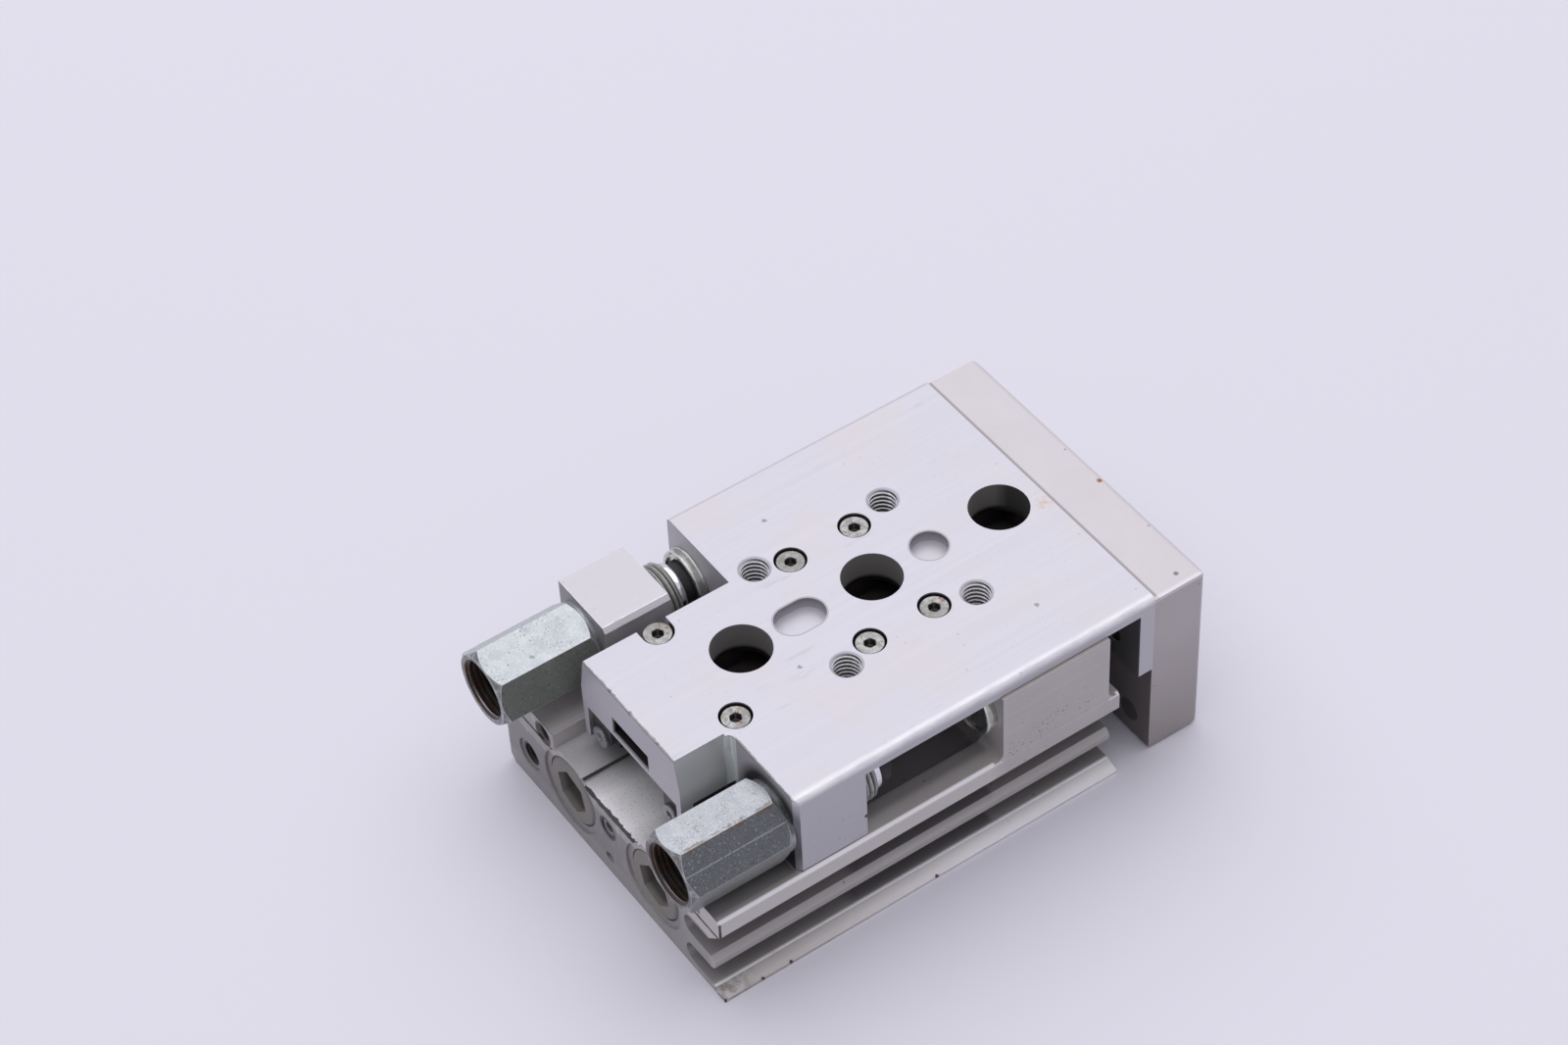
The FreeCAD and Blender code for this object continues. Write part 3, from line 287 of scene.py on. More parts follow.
class Finish:
    """A surface finish, laid up in coats over the object's own coordinates."""

    def __init__(self, name, colour, metallic, roughness):
        self.material = bpy.data.materials.new(name)
        self.material.use_nodes = True
        self.tree = self.material.node_tree
        self.tree.nodes.clear()
        self.output = self.add("ShaderNodeOutputMaterial")
        self.shader = self.add("ShaderNodeBsdfPrincipled")
        self.shader.inputs["Metallic"].default_value = metallic
        self.place = self.add("ShaderNodeTexCoord").outputs["Object"]
        self.colour = colour
        self.rough = roughness
        self.height = None
        self.link(self.shader.outputs["BSDF"], self.output.inputs["Surface"])

    def add(self, kind):
        return self.tree.nodes.new(kind)

    def link(self, start, end):
        self.tree.links.new(start, end)

    def put(self, value, socket):
        if isinstance(value, bpy.types.NodeSocket):
            self.link(value, socket)
        else:
            socket.default_value = value

    def stretched(self, scale, shift=(0.0, 0.0, 0.0)):
        node = self.add("ShaderNodeMapping")
        node.inputs["Scale"].default_value = scale
        node.inputs["Location"].default_value = shift
        self.link(self.place, node.inputs["Vector"])
        return node.outputs["Vector"]

    def noise(self, size, detail=3.0, rough=0.55, stretch=(1.0, 1.0, 1.0), shift=0.0):
        # Cloudy pattern with features about as large as size, in metres.
        node = self.add("ShaderNodeTexNoise")
        node.inputs["Scale"].default_value = 1.0
        node.inputs["Detail"].default_value = detail
        node.inputs["Roughness"].default_value = rough
        scale = tuple(s / size for s in stretch)
        self.link(self.stretched(scale, (shift, shift * 0.7, shift * 1.3)), node.inputs["Vector"])
        return node.outputs["Fac"]

    def cells(self, size, shift=0.0, stretch=(1.0, 1.0, 1.0)):
        # Distance to the nearest of scattered points, for nicks and specks.
        node = self.add("ShaderNodeTexVoronoi")
        node.inputs["Scale"].default_value = 1.0
        node.inputs["Randomness"].default_value = 1.0
        scale = tuple(s / size for s in stretch)
        self.link(self.stretched(scale, (shift, shift * 0.6, shift * 1.7)), node.inputs["Vector"])
        return node.outputs["Distance"]

    def span(self, value, low, high, out_low=0.0, out_high=1.0):
        node = self.add("ShaderNodeMapRange")
        node.inputs["From Min"].default_value = low
        node.inputs["From Max"].default_value = high
        node.inputs["To Min"].default_value = out_low
        node.inputs["To Max"].default_value = out_high
        self.link(value, node.inputs["Value"])
        return node.outputs["Result"]

    def sum(self, kind, a, b):
        node = self.add("ShaderNodeMath")
        node.operation = kind
        self.put(a, node.inputs[0])
        self.put(b, node.inputs[1])
        return node.outputs[0]

    def both(self, *masks):
        out = masks[0]
        for mask in masks[1:]:
            out = self.sum("MULTIPLY", out, mask)
        return out

    def either(self, *masks):
        out = masks[0]
        for mask in masks[1:]:
            out = self.sum("MAXIMUM", out, mask)
        return out

    def axis(self, name):
        node = self.add("ShaderNodeSeparateXYZ")
        self.link(self.place, node.inputs[0])
        return node.outputs[name]

    def facing(self, direction):
        # How far the surface looks along a direction of the piece, from -1 to 1.
        source = self.add("ShaderNodeTexCoord")
        node = self.add("ShaderNodeVectorMath")
        node.operation = "DOT_PRODUCT"
        self.link(source.outputs["Normal"], node.inputs[0])
        node.inputs[1].default_value = direction
        return node.outputs["Value"]

    def turned(self, direction, low=0.5, high=0.8):
        # 1 where the surface looks along a direction, fading to 0 beside it.
        return self.span(self.facing(direction), low, high)

    def fade(self, name, low, high, out_low=0.0, out_high=1.0):
        # Goes from one value to another between two places on an axis.
        return self.span(self.axis(name), low, high, out_low, out_high)

    def near(self, centre, radius, soft=0.5, keep=(1.0, 1.0, 1.0)):
        # 1 inside a round spot at centre, fading to 0 at its radius.
        # Where an axis isn't kept, the spot is a bar or a slab along it.
        node = self.add("ShaderNodeVectorMath")
        node.operation = "DISTANCE"
        self.link(self.stretched(keep), node.inputs[0])
        node.inputs[1].default_value = tuple(c * k for c, k in zip(centre, keep))
        return self.span(node.outputs["Value"], radius, radius * (1 - soft))

    def near_any(self, centres, radius, soft=0.5, keep=(1.0, 1.0, 1.0)):
        return self.either(*[self.near(centre, radius, soft, keep) for centre in centres])

    def well(self, places, radius, top):
        # 1 on the walls of upright holes, below the level of their mouths.
        walls = self.near_any(places, radius + 0.00022, 0.03, BAR_Z)
        return self.both(walls, self.fade("Z", top - 0.0001, top - 0.0004))

    def bored_x(self, places, radius):
        # 1 inside holes bored along X.
        return self.near_any(places, radius, 0.03, BAR_X)

    def scar(self, centres, radius, shift=0.0):
        # Small ragged marks at the given places.
        spots = self.near_any(centres, radius, 1.0)
        ragged = self.noise(radius * 0.7, 3.0, 0.7, shift=shift)
        return self.span(self.sum("SUBTRACT", spots, ragged), 0.02, 0.10)

    def worn_line(self, centre, keep, radius, size, shift):
        # Broken dark chips along a straight edge.
        line = self.near(centre, radius, 1.0, keep)
        ragged = self.noise(size, 3.0, 0.65, shift=shift)
        return self.span(self.sum("SUBTRACT", line, ragged), 0.06, 0.14)

    def tint(self, mask, colour):
        node = self.add("ShaderNodeMix")
        node.data_type = "RGBA"
        self.put(mask, node.inputs[0])
        self.put(self.colour, node.inputs[6])
        self.put(colour, node.inputs[7])
        self.colour = node.outputs[2]

    def stain(self, mask, share, colour):
        # A tint that covers only a share of what lies under it.
        self.tint(self.sum("MULTIPLY", mask, share), colour)

    def polish(self, mask, roughness):
        node = self.add("ShaderNodeMix")
        node.data_type = "FLOAT"
        self.put(mask, node.inputs[0])
        self.put(self.rough, node.inputs[2])
        self.put(roughness, node.inputs[3])
        self.rough = node.outputs[0]

    def raise_by(self, mask, amount):
        # Adds to the surface's height, in metres.
        step = self.sum("MULTIPLY", mask, amount)
        self.height = step if self.height is None else self.sum("ADD", self.height, step)

    def done(self):
        self.put(self.colour, self.shader.inputs["Base Color"])
        self.put(self.rough, self.shader.inputs["Roughness"])
        if self.height is not None:
            bump = self.add("ShaderNodeBump")
            bump.inputs["Strength"].default_value = 1.0
            bump.inputs["Distance"].default_value = 1.0
            self.link(self.height, bump.inputs["Height"])
            self.link(bump.outputs["Normal"], self.shader.inputs["Normal"])
        return self.material


def milled_aluminium(name, colour, edge=False):
    # Near-white satin aluminium with faint feed lines and a few nicks.
    coat = Finish(name, colour, 0.42, 0.40)
    lines = coat.noise(0.00030, 2.0, 0.5, (0.010, 1.0, 1.0))
    clouds = coat.noise(0.012, 3.0, 0.55)
    coat.tint(coat.span(lines, 0.35, 0.75, 0.0, 0.16), tone(186, 184, 194))
    coat.tint(coat.span(clouds, 0.48, 0.80, 0.0, 0.16), tone(206, 200, 202))
    specks = coat.both(coat.span(coat.cells(0.0027, 3.1), 0.075, 0.045),
                       coat.span(coat.noise(0.010, 2.0, 0.5, shift=5.0), 0.52, 0.60))
    coat.stain(specks, 0.55, tone(128, 122, 124))
    dust = coat.both(coat.span(coat.cells(0.0016, 57.0), 0.085, 0.05),
                     coat.span(coat.noise(0.014, 3.0, 0.6, shift=61.0), 0.46, 0.60))
    coat.stain(dust, 0.45, tone(140, 134, 134))
    coat.polish(coat.span(lines, 0.3, 0.7), 0.48)
    coat.raise_by(lines, 0.0000025)
    if edge:
        worn = coat.span(coat.noise(0.0016, 3.0, 0.6, shift=2.0), 0.34, 0.60)
        coat.tint(worn, tone(240, 239, 245))
        chips = coat.span(coat.noise(0.0012, 2.0, 0.6, shift=7.0), 0.68, 0.72)
        coat.stain(chips, 0.7, tone(92, 86, 86))
    return coat


def mark_table_wear(coat):
    # Nicks, chipped rear edges, one brown spot and pits on the near side.
    nicks = coat.scar(TABLE_NICKS, 0.0010)
    coat.stain(nicks, 0.5, tone(112, 104, 102))
    coat.polish(nicks, 0.7)
    end = coat.worn_line((TABLE_REAR, 0.0, TABLE_TOP), BAR_Y, 0.0008, 0.0018, 59.0)
    wall = coat.worn_line((NOTCH_WALL, 0.0, TABLE_TOP), BAR_Y, 0.0008, 0.0024, 63.0)
    rims = coat.either(end, coat.both(wall, coat.fade("Y", -0.0155, -0.0165)))
    coat.stain(rims, 0.7, tone(88, 82, 80))
    spot = coat.both(coat.near((0.0350, -0.0040, TABLE_TOP), 0.0022, 0.9),
                     coat.span(coat.noise(0.0009, 3.0, 0.6, shift=4.0), 0.42, 0.60))
    coat.stain(spot, 0.7, tone(200, 158, 116))
    pits = coat.both(coat.near((-0.0330, -0.0339, 0.0270), 0.0090, 0.6),
                     coat.span(coat.cells(0.0010, 7.0), 0.20, 0.10),
                     coat.span(coat.noise(0.0030, 2.0, 0.5, shift=9.0), 0.48, 0.58),
                     coat.turned(NEARWARD))
    coat.stain(pits, 0.75, tone(84, 80, 84))


def mark_table_sides(coat):
    # Painted shade on the sides, and a painted highlight along the rounded near edge.
    sides = coat.turned(UP, 0.7, 0.3)
    coat.stain(sides, 0.22, tone(146, 140, 134))
    broken = coat.noise(0.0022, 4.0, 0.65, (0.3, 1.0, 1.0), 47.0)
    # Painted highlight along the near top edge, broken up by noise.
    lip_highlight = coat.both(coat.near((0.0, -0.0338, TABLE_TOP), 0.0017, 0.8, BAR_X),
                    coat.span(broken, 0.30, 0.62, 0.35, 0.88))
    coat.tint(lip_highlight, tone(250, 249, 252))
    coat.polish(lip_highlight, 0.34)


def mark_table_holes(coat):
    # Greyer walls in the access holes with painted shade low down, painted shade on the walls of
    # the sinks, and on the threads painted highlights on the crests with painted shade in the
    # roots, on the flanks that look down and deeper down.
    height = coat.axis("Z")
    access = coat.well(ACCESS_HOLES, ACCESS_R, TABLE_TOP)
    coat.tint(access, tone(150, 147, 147))
    # Painted shade low in the access holes.
    coat.tint(coat.both(access, coat.span(height, 0.0362, 0.0352)), tone(22, 18, 18))
    sinks = coat.well(SINKS, SINK_R, TABLE_TOP)
    # Painted shade on the walls of the sinks.
    coat.tint(sinks, tone(48, 46, 46))
    taps = coat.well(TABLE_TAPS, TABLE_TAP_CREST, TABLE_TOP - 0.0003)
    thread_shading = coat.near_any(TABLE_TAPS, 0.00264, 0.06, BAR_Z)
    # Painted shade in the thread roots, then painted highlights on the crests.
    coat.tint(coat.both(taps, coat.sum("SUBTRACT", 1.0, thread_shading)), tone(50, 47, 49))
    coat.tint(coat.both(taps, thread_shading), tone(254, 253, 255))
    under_flank_shade = coat.turned(UP, -0.15, -0.45)
    # Painted shade on the thread flanks that look down, and deeper in the holes.
    coat.tint(coat.both(taps, under_flank_shade), tone(40, 38, 40))
    coat.tint(coat.both(taps, coat.span(height, 0.0375, 0.0335, 0.0, 0.8)), tone(70, 68, 70))
    coat.polish(coat.either(access, sinks), 0.6)
    coat.polish(taps, 0.16)


def mark_table_rear(coat):
    # Shade on the walls that look to the rear, deepest behind the near nut.
    rear = coat.turned(REARWARD)
    shade = coat.both(rear, coat.near((NOTCH_WALL, NEAR_STOP_Y, STOP_Z), 0.0105, 0.22))
    coat.stain(shade, 0.95, tone(24, 22, 24))
    low = coat.both(rear, coat.near((NOTCH_WALL, NEAR_STOP_Y, 0.0260), 0.0100, 0.3))
    coat.stain(low, 0.9, tone(40, 38, 40))
    front = coat.both(rear, coat.fade("X", 0.0280, 0.0290))
    coat.stain(front, 0.85, tone(68, 67, 69))


def mark_locators(coat):
    # A thin painted shade round the locating hole and slot, standing in for their chamfers, and
    # their shaded walls.
    height = coat.axis("Z")
    locators = coat.well(LOCATORS, 0.0035, TABLE_TOP)
    inside = coat.near_any(LOCATORS, 0.00358, 0.03, BAR_Z)
    chamfer_shade = coat.both(coat.near_any(LOCATORS, 0.00385, 0.03, BAR_Z),
                        coat.sum("SUBTRACT", 1.0, inside),
                        coat.span(height, TABLE_TOP - 0.0002, TABLE_TOP - 0.0001))
    coat.stain(chamfer_shade, 0.75, tone(150, 147, 152))
    walls = coat.both(locators, coat.sum("SUBTRACT", 1.0, coat.turned(UP, 0.3, 0.6)))
    coat.tint(coat.both(walls, coat.span(height, 0.0386, 0.0412, 0.0, 0.85)), tone(104, 100, 103))


def mark_notch(coat):
    # Painted light on the wall of the notch, painted shade low down on it, and a painted
    # highlight on the thin web at its corner.
    height = coat.axis("Z")
    notch = coat.both(coat.turned(NEARWARD),
                      coat.fade("X", -0.0415, -0.0418),
                      coat.fade("Y", -0.0335, -0.0325))
    coat.stain(notch, 0.7, tone(228, 232, 230))
    coat.polish(notch, 0.30)
    # Painted shade low on the notch wall.
    coat.tint(coat.both(notch, coat.span(height, 0.0330, 0.0250, 0.0, 0.7)), tone(92, 97, 95))
    web_highlight = coat.both(coat.near((WEB_X, WEB_Y, 0.0), 0.00125, 0.06, BAR_Z),
                    coat.span(height, 0.0411, 0.0409))
    coat.stain(web_highlight, 0.95, tone(240, 246, 244))
    coat.polish(web_highlight, 0.28)


def mark_table_haze(coat):
    # Warm clouds and rub marks on top, painted shade in the tunnel, and darker blotches on the
    # underside.
    height = coat.axis("Z")
    warm = coat.both(coat.span(coat.noise(0.017, 4.0, 0.6, shift=41.0), 0.50, 0.72),
                     coat.turned(UP, 0.7, 0.9))
    coat.stain(warm, 0.36, tone(206, 194, 188))
    rub = coat.both(coat.span(coat.noise(0.0016, 2.0, 0.5, (0.16, 1.0, 1.0), 43.0), 0.66, 0.74),
                    coat.span(coat.noise(0.012, 2.0, 0.5, shift=45.0), 0.50, 0.62))
    coat.stain(rub, 0.30, tone(164, 160, 168))
    tunnel_shade = coat.both(coat.near(MIDDLE, 0.0061, 0.03, SLAB_Y),
                       coat.span(height, 0.0348, 0.0346),
                       coat.fade("X", -0.0516, -0.0513))
    coat.tint(tunnel_shade, tone(50, 44, 44))
    under = coat.both(coat.turned(DOWN, 0.4, 0.8),
                      coat.span(coat.noise(0.006, 3.0, 0.6, shift=2.0), 0.40, 0.65))
    coat.stain(under, 0.5, tone(150, 146, 148))
    coat.tint(coat.scar(((-0.0261, -0.0339, 0.0274),), 0.0010, 3.0), tone(70, 66, 68))


def table_finish(name, colour, edge=False):
    # The table's marks over milled aluminium, painted light and shade among them, each laid on
    # the ones before.
    coat = milled_aluminium(name, colour, edge)
    mark_table_wear(coat)
    mark_table_sides(coat)
    mark_table_holes(coat)
    mark_table_rear(coat)
    mark_locators(coat)
    mark_notch(coat)
    mark_table_haze(coat)
    return coat.done()


def block_finish(name, colour, edge=False):
    # The stop block: milled, with painted shade on its sides and on the faces that look to the
    # rear, and dirt on its sides.
    coat = milled_aluminium(name, colour, edge)
    sides = coat.turned(UP, 0.7, 0.3)
    coat.stain(sides, 0.35, tone(128, 125, 127))
    rear = coat.turned(REARWARD)
    coat.stain(rear, 0.40, tone(112, 110, 112))
    dirt = coat.span(coat.noise(0.0050, 4.0, 0.6, shift=13.0), 0.50, 0.75)
    coat.tint(coat.both(dirt, coat.sum("MULTIPLY", sides, 0.3)), tone(104, 98, 96))
    return coat.done()


def mark_pits(coat):
    # A few separate pits on the side of the raised block.
    band = coat.both(coat.near_any(PIT_BAND, 0.0040, 0.7),
                     coat.span(coat.cells(0.00085, 2.0), 0.22, 0.14),
                     coat.span(coat.noise(0.0050, 2.0, 0.5, shift=49.0), 0.32, 0.42),
                     coat.fade("Y", -0.0340, -0.0344))
    coat.stain(band, 0.85, tone(82, 77, 80))


def mark_rear_face(coat):
    # Painted shade on the rear face towards its far end, painted light low down and near its near
    # end, and pale scuffs.
    rear = coat.both(coat.turned(REARWARD),
                     coat.fade("X", -0.0570, -0.0574))
    coat.tint(coat.both(rear, coat.fade("Y", 0.000, -0.016, 0.45, 0.0)), tone(150, 144, 142))
    coat.tint(coat.both(rear, coat.fade("Z", 0.0050, 0.0030, 0.0, 0.6)), tone(214, 209, 206))
    coat.tint(coat.both(rear, coat.fade("Y", -0.0190, -0.0240, 0.0, 0.6)), tone(222, 217, 214))
    streaks = coat.noise(0.0012, 3.0, 0.6, (1.0, 1.0, 0.25), 51.0)
    scuffs = coat.both(rear, coat.span(streaks, 0.58, 0.66))
    coat.stain(scuffs, 0.4, tone(226, 223, 224))


def mark_near_side(coat):
    # Painted light towards the front on the near side and on the lowest strip, and a brown burr
    # at the strip's rear end.
    lit_flank = coat.both(coat.turned(NEARWARD),
                      coat.fade("Y", -0.0340, -0.0344),
                      coat.fade("Z", 0.0150, 0.0160),
                      coat.fade("X", 0.0040, 0.0000, 0.0, 0.45))
    coat.tint(lit_flank, tone(226, 221, 220))
    # Painted light on the lowest strip, brighter towards the front.
    sill = coat.both(coat.fade("Z", 0.0021, 0.0019),
                     coat.fade("Y", -0.0312, -0.0315))
    coat.tint(coat.both(sill, coat.fade("X", -0.046, -0.004, 0.0, 0.62)), tone(250, 247, 252))
    burr = coat.both(sill, coat.fade("X", -0.0490, -0.0565),
                     coat.span(coat.noise(0.0016, 4.0, 0.65, shift=53.0), 0.42, 0.56))
    coat.stain(burr, 0.75, tone(116, 104, 96))


def mark_channel(coat):
    # Painted shadow on the wall top under the near nut, painted light on the channel floor,
    # darker towards both sides of the floor, and painted shade on the steps.
    ledge_shadow = coat.both(coat.fade("X", -0.0402, -0.0408),
                      coat.fade("Y", -0.0262, -0.0272),
                      coat.fade("Y", -0.0341, -0.0328),
                      coat.turned(UP),
                      coat.fade("Z", 0.0215, 0.0219))
    coat.tint(coat.both(ledge_shadow, coat.fade("Y", -0.0335, -0.0300, 0.45, 0.80)), tone(66, 66, 65))
    # Painted light on the channel floor.
    floor = coat.both(coat.turned(UP),
                      coat.fade("X", -0.030, -0.040),
                      coat.near(MIDDLE, 0.0190, 0.02, SLAB_Y))
    coat.stain(floor, 0.95, tone(254, 252, 255))
    coat.polish(floor, 0.22)
    coat.tint(coat.both(floor, coat.fade("Y", 0.0035, 0.0090, 0.0, 0.6)), tone(132, 128, 132))
    coat.tint(coat.both(floor, coat.fade("Y", -0.0045, -0.0085, 0.0, 0.40)), tone(146, 143, 147))
    # Painted shade on the step faces beside the channel floor.
    step = coat.both(coat.span(coat.sum("ABSOLUTE", coat.facing(FARWARD), 0.0), 0.5, 0.8),
                     coat.fade("Z", 0.0221, 0.0220),
                     coat.fade("Z", 0.0166, 0.0168),
                     coat.near(MIDDLE, 0.0150, 0.02, SLAB_Y))
    coat.stain(step, 0.9, tone(56, 53, 56))


def mark_hollows(coat):
    # Shade in the sensor slots, the bay and the holes of the rear face.
    slots = coat.both(coat.fade("Y", -0.0336, -0.0300),
                      coat.fade("Z", 0.0150, 0.0146))
    coat.stain(slots, 0.55, tone(120, 116, 120))
    bay = coat.both(coat.fade("Z", 0.0226, 0.0221),
                    coat.turned(UP),
                    coat.fade("X", -0.0290, -0.0265),
                    coat.fade("X", 0.0035, 0.0025),
                    coat.fade("Y", -0.0318, -0.0305))
    coat.stain(bay, 0.6, tone(98, 94, 98))
    holes = coat.either(coat.bored_x(REAR_HOLES, 0.0026), coat.bored_x(PLUG_BORES, 0.0073))
    coat.stain(holes, 0.85, tone(66, 61, 60))


def mark_housing_edges(coat):
    # Black chips along the rear edges, widest over the channel, and painted highlights along two
    # long edges of the near side.
    channel = (HOUSE_REAR, 0.0, 0.0175)
    wall_top = (HOUSE_REAR, 0.0, 0.0222)
    corner = (HOUSE_REAR, HOUSE_SIDE, 0.0)
    strip = [(x, HOUSE_SIDE, 0.0006) for x in (-0.0495, -0.0435, -0.0120)]
    chipped = coat.either(
        coat.both(coat.worn_line(channel, BAR_Y, 0.00140, 0.0016, 21.0),
                  coat.near(MIDDLE, 0.0100, 0.25, SLAB_Y)),
        coat.worn_line(channel, BAR_Y, 0.00085, 0.0030, 21.0),
        coat.sum("MULTIPLY", coat.worn_line(wall_top, BAR_Y, 0.00042, 0.0040, 23.0), 0.45),
        coat.worn_line(corner, BAR_Z, 0.00080, 0.0036, 25.0),
        coat.scar(strip, 0.0009, 27.0))
    coat.stain(chipped, 0.92, tone(30, 27, 28))
    coat.polish(chipped, 0.7)
    # Painted highlights along the two long edges.
    bright = coat.either(
        coat.near((0.0, -0.0316, 0.0018), 0.00042, 0.5, BAR_X),
        coat.near((0.0, -0.0342, 0.0218), 0.00045, 0.5, BAR_X))
    coat.stain(bright, 0.8, tone(244, 243, 248))


def anodised(name, colour, edge=False):
    # Pale clear-anodised housing, satin, with worn lines along its edges.
    coat = Finish(name, colour, 0.35, 0.42)
    clouds = coat.noise(0.013, 4.0, 0.6)
    grain = coat.noise(0.00022, 2.0, 0.6)
    draw = coat.noise(0.0007, 2.0, 0.5, (0.02, 1.0, 1.0), 4.0)
    coat.tint(coat.span(clouds, 0.35, 0.7, 0.0, 0.25), tone(166, 160, 158))
    coat.tint(coat.span(draw, 0.4, 0.8, 0.0, 0.22), tone(208, 204, 204))
    specks = coat.both(coat.span(coat.cells(0.0021, 6.0), 0.13, 0.06),
                       coat.span(coat.noise(0.006, 2.0, 0.5, shift=8.0), 0.54, 0.62))
    coat.stain(specks, 0.7, tone(70, 65, 65))
    mark_pits(coat)
    mark_rear_face(coat)
    mark_near_side(coat)
    mark_channel(coat)
    mark_hollows(coat)
    mark_housing_edges(coat)
    coat.polish(coat.span(grain, 0.3, 0.7), 0.54)
    coat.raise_by(grain, 0.000005)
    coat.raise_by(draw, 0.000005)
    coat.raise_by(specks, -0.00004)
    if edge:
        worn = coat.span(coat.noise(0.0022, 3.0, 0.6, shift=2.0), 0.36, 0.56)
        coat.tint(worn, tone(232, 230, 236))
        chips = coat.span(coat.noise(0.0010, 2.0, 0.6, shift=7.0), 0.62, 0.66)
        coat.stain(chips, 0.85, tone(46, 43, 44))
    return coat.done()


def zinc_plated(name, colour, speck=0.5, rust=0.4, socket=None):
    # Bluish zinc plate, mottled, with brown specks where it has gone.
    coat = Finish(name, colour, 0.72, 0.34)
    mottle = coat.noise(0.0028, 4.0, 0.62)
    fine = coat.noise(0.00045, 3.0, 0.6, shift=3.0)
    coat.tint(coat.span(mottle, 0.38, 0.68, 0.0, 0.40), tone(160, 164, 172))
    coat.tint(coat.span(fine, 0.5, 0.75, 0.0, 0.35), tone(232, 235, 238))
    dots = coat.both(coat.span(coat.cells(0.0009, 5.0), 0.22, 0.10),
                     coat.span(coat.noise(0.0040, 3.0, 0.5, shift=6.0), 0.50, 0.60))
    coat.stain(dots, speck, tone(96, 82, 66))
    patches = coat.span(coat.noise(0.0024, 4.0, 0.65, shift=11.0), 0.64, 0.72)
    coat.stain(patches, rust, tone(118, 92, 72))
    coat.polish(coat.span(mottle, 0.35, 0.7), 0.5)
    coat.polish(coat.either(dots, patches), 0.72)
    coat.raise_by(fine, 0.000008)
    coat.raise_by(dots, -0.00002)
    if socket is not None:
        # Painted shade in the sockets, below a level of the upright heads, and a painted glint on
        # their walls that look rearward and to the near side; grime, dull patches and brown spots
        # all over.
        grime = coat.span(coat.noise(0.0011, 4.0, 0.7, shift=19.0), 0.46, 0.58)
        coat.stain(grime, 0.55, tone(120, 108, 98))
        dull = coat.span(coat.noise(0.016, 1.0, 0.5, shift=55.0), 0.42, 0.58)
        coat.stain(dull, 0.6, tone(128, 126, 120))
        brown = coat.both(coat.span(coat.noise(0.0009, 3.0, 0.6, shift=29.0), 0.56, 0.64),
                          coat.span(coat.noise(0.0080, 1.0, 0.5, shift=31.0), 0.50, 0.60))
        coat.stain(brown, 0.8, tone(126, 74, 50))
        socket_shade = coat.fade("Z", socket, socket - 0.00012)
        coat.stain(socket_shade, 0.86, tone(56, 52, 50))
        glint = coat.both(socket_shade, coat.turned((-0.50, -0.86, 0.0), 0.86, 0.96))
        coat.stain(glint, 0.6, tone(176, 178, 170))
    return coat


def sleeve_finish(name, colour):
    # Zinc plate with painted shade down in the threads of the two stops, and grease.
    coat = zinc_plated(name, colour, 0.5, 0.2)
    for y in (FAR_STOP_Y, NEAR_STOP_Y):
        # Painted shade in the thread roots.
        thread_shading = coat.near((0.0, y, STOP_Z), 0.00580, 0.05, BAR_X)
        coat.stain(thread_shading, 0.85, tone(92, 90, 80))
    grease = coat.span(coat.noise(0.0018, 3.0, 0.6, shift=69.0), 0.45, 0.65)
    coat.stain(grease, 0.4, tone(140, 138, 122))
    return coat.done()


